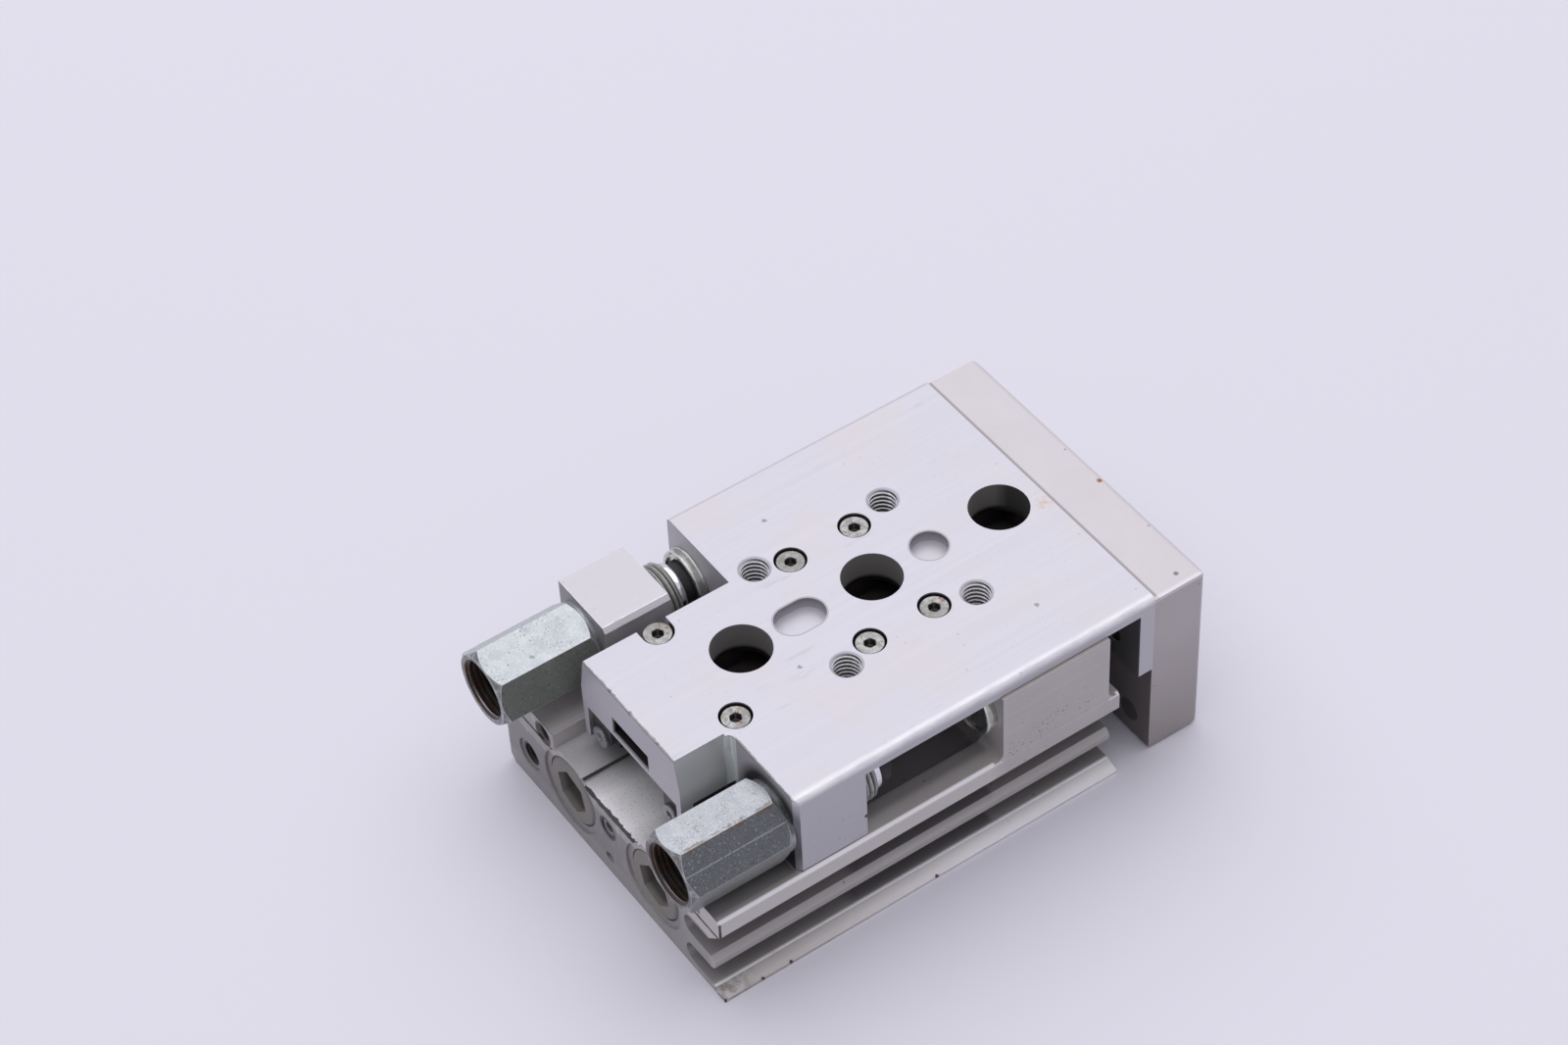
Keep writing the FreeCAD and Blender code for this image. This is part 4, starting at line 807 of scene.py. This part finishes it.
def nut_finish(name, colour, y, mouth_x, dull, flat, with_line=False):
    # A hexagon nut with painted shade on one flat and on its lower flank, a greasy mouth, painted
    # shade deep in its bore and dirt on its ends.
    coat = zinc_plated(name, colour, 0.6, 0.25)
    # dull is the turn, in degrees from the top, of the flat that takes the painted shade.
    turn = math.radians(dull)
    side = (0.0, -math.sin(turn), math.cos(turn))
    shade = coat.turned(side, 0.80, 0.93)
    coat.stain(shade, 0.85, flat)
    grit = coat.noise(0.00038, 2.0, 0.7, shift=17.0)
    coat.tint(coat.both(shade, coat.span(grit, 0.60, 0.70, 0.0, 0.6)), tone(176, 180, 184))
    coat.tint(coat.both(shade, coat.span(grit, 0.40, 0.30, 0.0, 0.6)), tone(40, 42, 44))
    coat.polish(shade, 0.42)
    # Painted shade on the lower flank.
    lower_flank_shade = coat.turned((0.0, -0.93, -0.37), 0.86, 0.95)
    coat.stain(lower_flank_shade, 0.6, tone(132, 130, 124))
    fleck = coat.both(coat.span(coat.cells(0.00055, 33.0), 0.30, 0.16),
                      coat.span(coat.noise(0.0045, 3.0, 0.6, shift=35.0), 0.46, 0.60))
    coat.stain(fleck, 0.6, tone(104, 94, 78))
    ends = coat.both(coat.turned(REARWARD, 0.35, 0.75),
                     coat.span(coat.noise(0.0016, 3.0, 0.6, shift=8.0), 0.32, 0.52))
    coat.stain(ends, 0.75, tone(92, 85, 79))
    if with_line:
        # A fine bright broken line along the middle of the shaded flat.
        middle = (0.0, y + side[1] * 0.007, STOP_Z + side[2] * 0.007)
        line = coat.both(coat.near(middle, 0.00014, 0.6, BAR_X),
                         coat.span(coat.noise(0.0022, 2.0, 0.6, shift=37.0), 0.34, 0.42))
        coat.stain(line, 0.6, tone(176, 180, 182))
        # Rust flecks along the ridge between the top flat and the shaded one.
        ridge = turn - math.radians(30.0)
        crest = (0.0, y - math.sin(ridge) * 0.00808, STOP_Z + math.cos(ridge) * 0.00808)
        rusty = coat.both(coat.worn_line(crest, BAR_X, 0.0019, 0.0006, 65.0),
                          coat.span(coat.noise(0.0020, 3.0, 0.6, shift=67.0), 0.44, 0.56))
        coat.stain(rusty, 0.6, tone(104, 86, 66))
    axis = (0.0, y, STOP_Z)
    mouth = coat.near(axis, 0.00635, 0.035, BAR_X)
    coat.stain(mouth, 0.86, tone(74, 62, 56))
    rust = coat.both(mouth, coat.span(coat.noise(0.0015, 3.0, 0.6, shift=13.0), 0.48, 0.60))
    coat.stain(rust, 0.6, tone(96, 58, 40))
    # Painted shade deep in the bore.
    bore_shade = coat.both(mouth, coat.fade("X", mouth_x + 0.0028, mouth_x + 0.0045))
    coat.tint(bore_shade, tone(24, 21, 21))
    return coat.done()


def milled_plate(name, colour, edge=False):
    # Warm grey bead-blasted plate with small nicks and one rust spot, painted shade on its sides
    # and on the faces that look to the rear, a painted shadow at the joint under the table and a
    # painted highlight along its near top edge.
    coat = Finish(name, colour, 0.22, 0.50)
    clouds = coat.noise(0.010, 3.0, 0.55)
    grain = coat.noise(0.00028, 2.0, 0.6)
    coat.tint(coat.span(clouds, 0.35, 0.7, 0.0, 0.22), tone(190, 183, 184))
    coat.tint(coat.span(grain, 0.45, 0.75, 0.0, 0.2), tone(232, 228, 232))
    nicks = coat.both(coat.span(coat.cells(0.0030, 2.0), 0.09, 0.045),
                      coat.span(coat.noise(0.008, 2.0, 0.5, shift=3.0), 0.55, 0.62))
    nicks = coat.either(nicks, coat.near((0.0436, -0.03085, YOKE_TOP), 0.0006, 0.5))
    coat.stain(nicks, 0.75, tone(84, 76, 74))
    coat.tint(coat.near((0.04696, -0.00489, YOKE_TOP), 0.00065, 0.5), tone(160, 92, 44))
    # Painted shade on the sides, deeper low down.
    sides = coat.turned(UP, 0.7, 0.3)
    coat.stain(sides, 0.36, tone(138, 127, 118))
    coat.tint(coat.both(sides, coat.fade("Z", 0.030, 0.006, 0.0, 0.30)), tone(110, 99, 92))
    # Painted shadow along the joint under the table's front edge.
    joint_shadow = coat.both(coat.fade("X", 0.03785, 0.03755),
                      coat.fade("Z", 0.0398, 0.0400))
    coat.stain(joint_shadow, 0.55, tone(104, 98, 96))
    # Painted highlight along the near top edge.
    brow_highlight = coat.near((0.0, -0.03365, YOKE_TOP), 0.0010, 0.4, BAR_X)
    coat.stain(brow_highlight, 0.4, tone(246, 242, 244))
    # Painted shade on the faces that look to the rear.
    rear = coat.turned(REARWARD)
    coat.stain(rear, 0.8, tone(92, 86, 85))
    mark = coat.both(coat.near((0.0, -0.0278, 0.0059), 0.0025, 0.10, BAR_X),
                     coat.turned(REARWARD))
    coat.stain(mark, 0.7, tone(40, 35, 33))
    coat.polish(coat.span(grain, 0.3, 0.7), 0.60)
    coat.raise_by(grain, 0.000005)
    coat.raise_by(nicks, -0.00004)
    if edge:
        worn = coat.span(coat.noise(0.0020, 3.0, 0.6, shift=2.0), 0.34, 0.58)
        coat.tint(worn, tone(240, 237, 241))
    return coat.done()


def ground_steel(name, colour):
    # Ground bearing steel, dark where the oil film lies on it.
    coat = Finish(name, colour, 0.6, 0.38)
    lines = coat.noise(0.00022, 2.0, 0.5, (0.01, 1.0, 1.0))
    oil = coat.noise(0.006, 3.0, 0.6, shift=4.0)
    coat.tint(coat.span(lines, 0.35, 0.75, 0.0, 0.3), tone(88, 86, 89))
    coat.tint(coat.span(oil, 0.40, 0.65, 0.0, 0.8), tone(32, 27, 26))
    coat.polish(coat.span(oil, 0.45, 0.7), 0.45)
    coat.raise_by(lines, 0.000003)
    return coat.done()


def chromed(name, colour):
    coat = Finish(name, colour, 1.0, 0.12)
    lines = coat.noise(0.0003, 2.0, 0.5, (1.0, 0.3, 0.3))
    haze = coat.noise(0.0016, 3.0, 0.6, shift=2.0)
    coat.tint(coat.span(haze, 0.5, 0.75, 0.0, 0.35), tone(150, 150, 156))
    coat.polish(coat.span(haze, 0.4, 0.75), 0.3)
    coat.raise_by(lines, 0.000002)
    return coat.done()


def soft_rubber(name, colour):
    coat = Finish(name, colour, 0.0, 0.55)
    grain = coat.noise(0.0004, 3.0, 0.6)
    dust = coat.noise(0.0019, 4.0, 0.7, shift=3.0)
    coat.tint(coat.span(dust, 0.6, 0.85, 0.0, 0.4), tone(84, 80, 80))
    coat.polish(coat.span(dust, 0.45, 0.75), 0.8)
    coat.raise_by(grain, 0.00002)
    return coat.done()


def moulded_plastic(name, colour):
    coat = Finish(name, colour, 0.0, 0.45)
    grain = coat.noise(0.0003, 2.0, 0.5)
    clouds = coat.noise(0.004, 3.0, 0.6, shift=3.0)
    coat.tint(coat.span(clouds, 0.4, 0.75, 0.0, 0.5), tone(58, 55, 56))
    coat.polish(coat.span(clouds, 0.4, 0.7), 0.6)
    coat.raise_by(grain, 0.000008)
    return coat.done()


def plug_metal(name, colour):
    # Matt grey plugs with brown dirt spots, and painted shade down in their hexagon sockets.
    coat = Finish(name, colour, 0.25, 0.55)
    clouds = coat.noise(0.0028, 4.0, 0.65)
    grain = coat.noise(0.00025, 2.0, 0.6, shift=2.0)
    coat.tint(coat.span(clouds, 0.35, 0.7, 0.0, 0.4), tone(150, 146, 141))
    dirt = coat.span(coat.noise(0.0013, 4.0, 0.65, shift=6.0), 0.60, 0.70)
    coat.stain(dirt, 0.35, tone(112, 98, 84))
    # Painted shade down in the hexagon sockets.
    socket_shade = coat.fade("X", -0.0566, -0.0558)
    coat.stain(socket_shade, 0.62, tone(72, 67, 64))
    coat.polish(coat.span(grain, 0.3, 0.7), 0.66)
    coat.raise_by(grain, 0.000008)
    return coat.done()


def turned_bronze(name, colour):
    coat = Finish(name, colour, 0.9, 0.36)
    rings = coat.noise(0.0003, 2.0, 0.5, (1.0, 0.2, 0.2))
    stain = coat.noise(0.002, 3.0, 0.6, shift=3.0)
    coat.tint(coat.span(stain, 0.45, 0.75, 0.0, 0.6), tone(98, 72, 44))
    coat.polish(coat.span(stain, 0.4, 0.7), 0.55)
    coat.raise_by(rings, 0.000003)
    return coat.done()


def button_finish(name, colour):
    # The stop's cup: bright turned zinc, with painted reflection bands and a speckled rim.
    coat = Finish(name, colour, 0.95, 0.16)
    rings = coat.noise(0.0003, 2.0, 0.5, (1.0, 0.15, 0.15))
    coat.tint(coat.span(rings, 0.4, 0.75, 0.0, 0.3), tone(150, 150, 150))
    # Painted reflection: darker bands where the cup looks up and to the near side.
    reflection_bands = coat.either(coat.turned((0.0, -0.28, 0.96), 0.965, 0.985),
                      coat.turned((0.0, -0.94, 0.34), 0.93, 0.96))
    coat.stain(reflection_bands, 0.5, tone(128, 130, 122))
    rim = coat.near((-0.0230, 0.0, 0.0), 0.00026, 0.4, SLAB_X)
    speckle = coat.span(coat.noise(0.0009, 4.0, 0.7, shift=15.0), 0.50, 0.60)
    coat.stain(coat.both(rim, speckle), 0.8, tone(120, 112, 98))
    haze = coat.span(coat.noise(0.0030, 3.0, 0.6, shift=5.0), 0.50, 0.75)
    coat.stain(haze, 0.3, tone(150, 146, 138))
    coat.polish(coat.either(haze, coat.both(rim, speckle)), 0.42)
    coat.raise_by(rings, 0.000003)
    return coat.done()


TABLE = table_finish("table_aluminium", tone(202, 200, 209))
TABLE_EDGE = table_finish("table_worn_edge", tone(212, 210, 218), edge=True)
BLOCK = block_finish("stop_block_aluminium", tone(200, 196, 202))
BLOCK_EDGE = block_finish("stop_block_worn_edge", tone(208, 204, 210), edge=True)
HOUSING = anodised("pale_anodised", tone(192, 187, 186))
HOUSING_EDGE = anodised("pale_anodised_chipped_edge", tone(200, 196, 196), edge=True)
PLATE = milled_plate("yoke_plate_grey", tone(208, 202, 208))
PLATE_EDGE = milled_plate("yoke_plate_worn_edge", tone(220, 216, 221), edge=True)
ZINC = zinc_plated("zinc_plate", tone(192, 194, 200)).done()
ZINC_THREAD = sleeve_finish("zinc_threads", tone(196, 199, 196))
ZINC_HEAD = zinc_plated("zinc_screw_heads", tone(166, 168, 166), 0.7, 0.7, 0.04066).done()
FAR_NUT = nut_finish("far_nut_zinc", tone(184, 189, 191), FAR_STOP_Y, FAR_NUT_REAR, 75.0,
                     tone(124, 128, 117))
NEAR_NUT = nut_finish("near_nut_zinc", tone(176, 179, 183), NEAR_STOP_Y, NEAR_NUT_REAR, 52.0,
                      tone(76, 79, 82), with_line=True)
ZINC_CUP = button_finish("stop_cup_zinc", tone(212, 214, 208))
ZINC_DARK = zinc_plated("zinc_plate_dull", tone(134, 132, 134), 0.7, 0.6).done()
STEEL = ground_steel("ground_steel", tone(50, 46, 46))
CHROME = chromed("chromed_steel", tone(222, 222, 226))
SPRING = ground_steel("spring_steel", tone(92, 90, 94))
BRONZE = turned_bronze("bearing_bronze", tone(164, 128, 84))
RUBBER = soft_rubber("black_rubber", tone(26, 25, 27))
PLASTIC = moulded_plastic("black_plastic", tone(40, 38, 40))
PLUG = plug_metal("plug_grey", tone(136, 132, 128))
MAGNET = ground_steel("magnet_grey", tone(76, 76, 80))

SLOT_FINISH = {
    "grey_anodised": HOUSING,
    "bright_aluminium": TABLE,
    "grey_plate": PLATE,
    "plug_grey": PLUG,
    "zinc_steel": ZINC,
    "ground_steel": STEEL,
    "chrome_steel": CHROME,
    "spring_steel": SPRING,
    "bronze": BRONZE,
    "rubber": RUBBER,
    "dark_plastic": PLASTIC,
    "magnet": MAGNET,
}


def dress_nodes():
    # Every solid that stays in view gets the finish of its slot.
    for node in NODES.values():
        slot = node.data.materials[0].name.split(".")[0]
        for index in range(len(node.data.materials)):
            node.material_slots[index].link = "OBJECT"
            node.material_slots[index].material = SLOT_FINISH[slot]


# Screw threads

def thread_bar(length, root, crest, pitch):
    # A closed threaded bar along X from the origin.
    turns = int(round(length / pitch)) + 2
    bpy.ops.object.select_all(action="DESELECT")
    bpy.ops.mesh.primitive_plane_add(size=pitch, location=(0, 0, 0))
    obj = bpy.context.object
    edit(obj, "VERT")
    for vertex in obj.data.vertices:
        vertex.select = vertex.co.y < 0
    bpy.ops.object.mode_set(mode="EDIT")
    bpy.ops.mesh.delete(type="VERT")
    bpy.ops.mesh.select_all(action="SELECT")
    bpy.ops.mesh.subdivide(number_cuts=5)
    bpy.ops.object.mode_set(mode="OBJECT")
    for vertex in obj.data.vertices:
        along = vertex.co.x / pitch + 0.5
        lift = min(1.0, max(0.0, abs(along * 2 - 1) * 1.25 - 0.125))
        vertex.co = (along * pitch - pitch, 0.0, crest + (root - crest) * lift)
    screw = obj.modifiers.new("thread", "SCREW")
    screw.axis = "X"
    screw.angle = math.tau
    screw.screw_offset = pitch
    screw.iterations = turns
    screw.steps = THREAD_STEPS
    screw.render_steps = THREAD_STEPS
    screw.use_merge_vertices = True
    screw.merge_threshold = 0.000001
    apply_modifiers(obj)
    face_outwards(obj)
    for end, outer in ((0.0, False), (length, True)):
        make_active(obj)
        bpy.ops.object.mode_set(mode="EDIT")
        bpy.ops.mesh.select_all(action="SELECT")
        bpy.ops.mesh.bisect(
            plane_co=(end, 0, 0), plane_no=(1, 0, 0), use_fill=True,
            clear_inner=not outer, clear_outer=outer)
        bpy.ops.object.mode_set(mode="OBJECT")
    face_outwards(obj)
    return obj


def placed(obj, x, y, z, upright=False):
    obj.location = (x, y, z)
    if upright:
        obj.rotation_euler = (0, -math.pi / 2, 0)
    settle(obj)
    return obj


# The pieces

def plain_piece(node, name, finish, width, segments=2, edge=None):
    obj = merged_copy(node)
    soften(obj, width, segments)
    level(obj)
    finish_piece(obj, name, NODES[node]["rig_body"], (finish, edge or finish), (node,))


def make_table():
    obj = merged_copy("slide_table")
    soften(obj, FINE_ROUND)
    for x, y, _ in TABLE_TAPS:
        tap = thread_bar(TABLE_TAP_LONG, TABLE_TAP_ROOT, TABLE_TAP_CREST, TABLE_TAP_PITCH)
        cut_away(obj, placed(tap, x, y, TABLE_TOP - TABLE_TAP_DEEP, upright=True))
    level(obj)
    finish_piece(obj, "table_body", "slide", (TABLE, TABLE_EDGE),
                 ("slide_table",))


def make_housing():
    obj = merged_copy("housing")
    soften(obj, FINE_ROUND)
    tap = thread_bar(PORT_TAP_LONG, PORT_TAP_ROOT, PORT_TAP_CREST, PORT_TAP_PITCH)
    cut_away(obj, placed(tap, *PORT))
    level(obj, 18.0)
    finish_piece(obj, "housing_body", "housing", (HOUSING, HOUSING_EDGE),
                 ("housing",))


def make_yoke():
    obj = merged_copy("yoke_plate")
    soften(obj, YOKE_ROUND, 3)
    level(obj)
    finish_piece(obj, "yoke_body", "slide", (PLATE, PLATE_EDGE), ("yoke_plate",))


def make_sleeve(node, name, x0, x1, y):
    # The stop's threaded sleeve, with its hexagon socket and bored ends.
    obj = bar_x(x0, x1, y, STOP_Z, STOP_CREST, 96)
    pick_faces(obj, lambda face: abs(face.normal.x) > 0.9)
    bpy.ops.mesh.bevel(offset=SLEEVE_BEVEL, segments=1, affect="EDGES")
    bpy.ops.object.mode_set(mode="OBJECT")
    bar = thread_bar(x1 - x0 + 2 * OVERCUT, STOP_ROOT, STOP_CREST + 0.00006, STOP_PITCH)
    cut_away(obj, placed(bar, x0 - OVERCUT, y, STOP_Z), "INTERSECT")
    hexagon = SLEEVE_BORE_R / math.sqrt(3)
    cut_away(obj, bar_x(x0 - OVERCUT, x0 + SLEEVE_MOUTH, y, STOP_Z, SLEEVE_BORE_R, 48))
    cut_away(obj, bar_x(x0 + SLEEVE_HEX_FROM, x0 + SLEEVE_HEX_TO, y, STOP_Z, hexagon, 6))
    cut_away(obj, bar_x(x0 + SLEEVE_STEM_FROM, x1 + OVERCUT, y, STOP_Z, SLEEVE_BORE_R, 48))
    level(obj, 35.0)
    finish_piece(obj, name, NODES[node]["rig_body"], (ZINC_THREAD,), (node,))


def make_nut(node, name, x0, y, finish):
    obj = merged_copy(node)
    soften(obj, NUT_ROUND)
    tap = thread_bar(NUT_TAP_LONG, STOP_ROOT - 0.0002, STOP_CREST, STOP_PITCH)
    cut_away(obj, placed(tap, x0 - 0.0008, y, STOP_Z))
    level(obj)
    finish_piece(obj, name, NODES[node]["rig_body"], (finish, ZINC), (node,))


def make_small_pieces():
    make_nut("retract_lock_nut", "far_nut_body", FAR_NUT_REAR, FAR_STOP_Y, FAR_NUT)
    make_nut("extend_lock_nut", "near_nut_body", NEAR_NUT_REAR, NEAR_STOP_Y, NEAR_NUT)
    make_sleeve("retract_stop_sleeve", "far_sleeve_threads", -0.0561, -0.0261, FAR_STOP_Y)
    make_sleeve("extend_stop_sleeve", "near_sleeve_threads", -0.0524, -0.0224, NEAR_STOP_Y)
    plain_piece("stop_block", "stop_block_body", BLOCK, 0.00018,
                edge=BLOCK_EDGE)
    plain_piece("carriage_screws", "table_screw_heads", ZINC_HEAD, 0.00025, 3)
    plain_piece("retract_stop_button", "far_button_cup", ZINC_CUP, 0.00015)
    plain_piece("extend_stop_button", "near_button_cup", ZINC_CUP, 0.00015)
    plain_piece("rear_plugs", "rear_plug_pair", PLUG, 0.00012)
    plain_piece("rear_set_screw", "rear_grub_screw", ZINC_DARK, 0.00008)
    plain_piece("retract_stop_bumper", "far_bumper_pad", RUBBER, 0.0002, 3)
    plain_piece("extend_stop_bumper", "near_bumper_pad", RUBBER, 0.0002, 3)
    plain_piece("retract_stop_bumper_holder", "far_bumper_holder", CHROME, 0.00015)
    plain_piece("extend_stop_bumper_holder", "near_bumper_holder", CHROME, 0.00015)
    plain_piece("guide_carriage", "carriage_body", STEEL, 0.00012)
    plain_piece("guide_rail", "rail_body", STEEL, 0.00015)
    plain_piece("carriage_end_caps", "carriage_caps", PLASTIC, 0.0002)
    plain_piece("end_cap_screws", "cap_screw_heads", ZINC_DARK, 0.0001)


# Camera, floor and light

def make_camera():
    data = bpy.data.cameras.new("camera")
    camera = bpy.data.objects.new("camera", data)
    bpy.context.scene.collection.objects.link(camera)
    data.lens = 90.973
    data.sensor_width = 36.0
    data.clip_start = 0.01
    data.clip_end = 20.0
    right = Vector((0.81838411, -0.57336456, -0.03873675))
    down = Vector((-0.43905142, -0.58033506, -0.68588999))
    ahead = Vector((0.37078472, 0.57832889, -0.72667351))
    turn = Matrix((right, -down, -ahead)).transposed()
    place = Vector((-0.2671138, -0.3889708, 0.5552655))
    camera.matrix_world = Matrix.LocRotScale(place, turn, None)
    bpy.context.scene.camera = camera


def make_floor():
    bpy.ops.object.select_all(action="DESELECT")
    bpy.ops.mesh.primitive_plane_add(size=6.0, location=(0, 0, 0))
    floor = bpy.context.object
    floor.name = "studio_floor"
    coat = Finish("studio_floor", tone(224, 222, 233), 0.0, 0.7)
    coat.shader.inputs["Specular IOR Level"].default_value = 0.1
    coat.tint(coat.span(coat.noise(0.4, 2.0, 0.5), 0.3, 0.7, 0.0, 0.12), tone(230, 228, 240))
    floor.data.materials.append(coat.done())


def make_sky(tree):
    # Soft light that falls from above, before an even pale background.
    def add(kind):
        return tree.nodes.new(kind)
    sky = tree.nodes["Background"]
    sky.inputs["Color"].default_value = (0.96, 0.96, 1.0, 1.0)
    place = add("ShaderNodeTexCoord")
    split = add("ShaderNodeSeparateXYZ")
    tree.links.new(place.outputs["Generated"], split.inputs[0])
    height = add("ShaderNodeMath")
    height.operation = "MAXIMUM"
    height.inputs[1].default_value = 0.0
    tree.links.new(split.outputs["Z"], height.inputs[0])
    fall = add("ShaderNodeMath")
    fall.operation = "POWER"
    fall.inputs[1].default_value = 1.5
    tree.links.new(height.outputs[0], fall.inputs[0])
    glow = add("ShaderNodeMath")
    glow.operation = "MULTIPLY"
    glow.inputs[1].default_value = 1.15
    tree.links.new(fall.outputs[0], glow.inputs[0])
    tree.links.new(glow.outputs[0], sky.inputs["Strength"])
    backdrop = add("ShaderNodeBackground")
    backdrop.inputs["Color"].default_value = (0.80, 0.79, 0.86, 1.0)
    backdrop.inputs["Strength"].default_value = 1.0
    rays = add("ShaderNodeLightPath")
    seen = rays.outputs["Is Camera Ray"]
    for name in ("Is Glossy Ray", "Is Transmission Ray"):
        either = add("ShaderNodeMath")
        either.operation = "MAXIMUM"
        tree.links.new(seen, either.inputs[0])
        tree.links.new(rays.outputs[name], either.inputs[1])
        seen = either.outputs[0]
    blend = add("ShaderNodeMixShader")
    tree.links.new(seen, blend.inputs[0])
    tree.links.new(sky.outputs[0], blend.inputs[1])
    tree.links.new(backdrop.outputs[0], blend.inputs[2])
    tree.links.new(blend.outputs[0], tree.nodes["World Output"].inputs["Surface"])


def make_light():
    data = bpy.data.lights.new("softbox", "AREA")
    data.shape = "RECTANGLE"
    data.size = 2.2
    data.size_y = 2.2
    data.energy = 13.0
    lamp = bpy.data.objects.new("softbox", data)
    bpy.context.scene.collection.objects.link(lamp)
    lamp.location = (0.20, 0.45, 1.3)
    aim = Vector((0.0, 0.0, 0.0)) - lamp.location
    lamp.rotation_euler = aim.to_track_quat("-Z", "Y").to_euler()
    world = bpy.data.worlds.new("studio")
    world.use_nodes = True
    make_sky(world.node_tree)
    bpy.context.scene.world = world
    bpy.context.scene.view_settings.view_transform = "Standard"


make_camera()
make_floor()
make_light()
dress_nodes()
make_table()
make_housing()
make_yoke()
make_small_pieces()
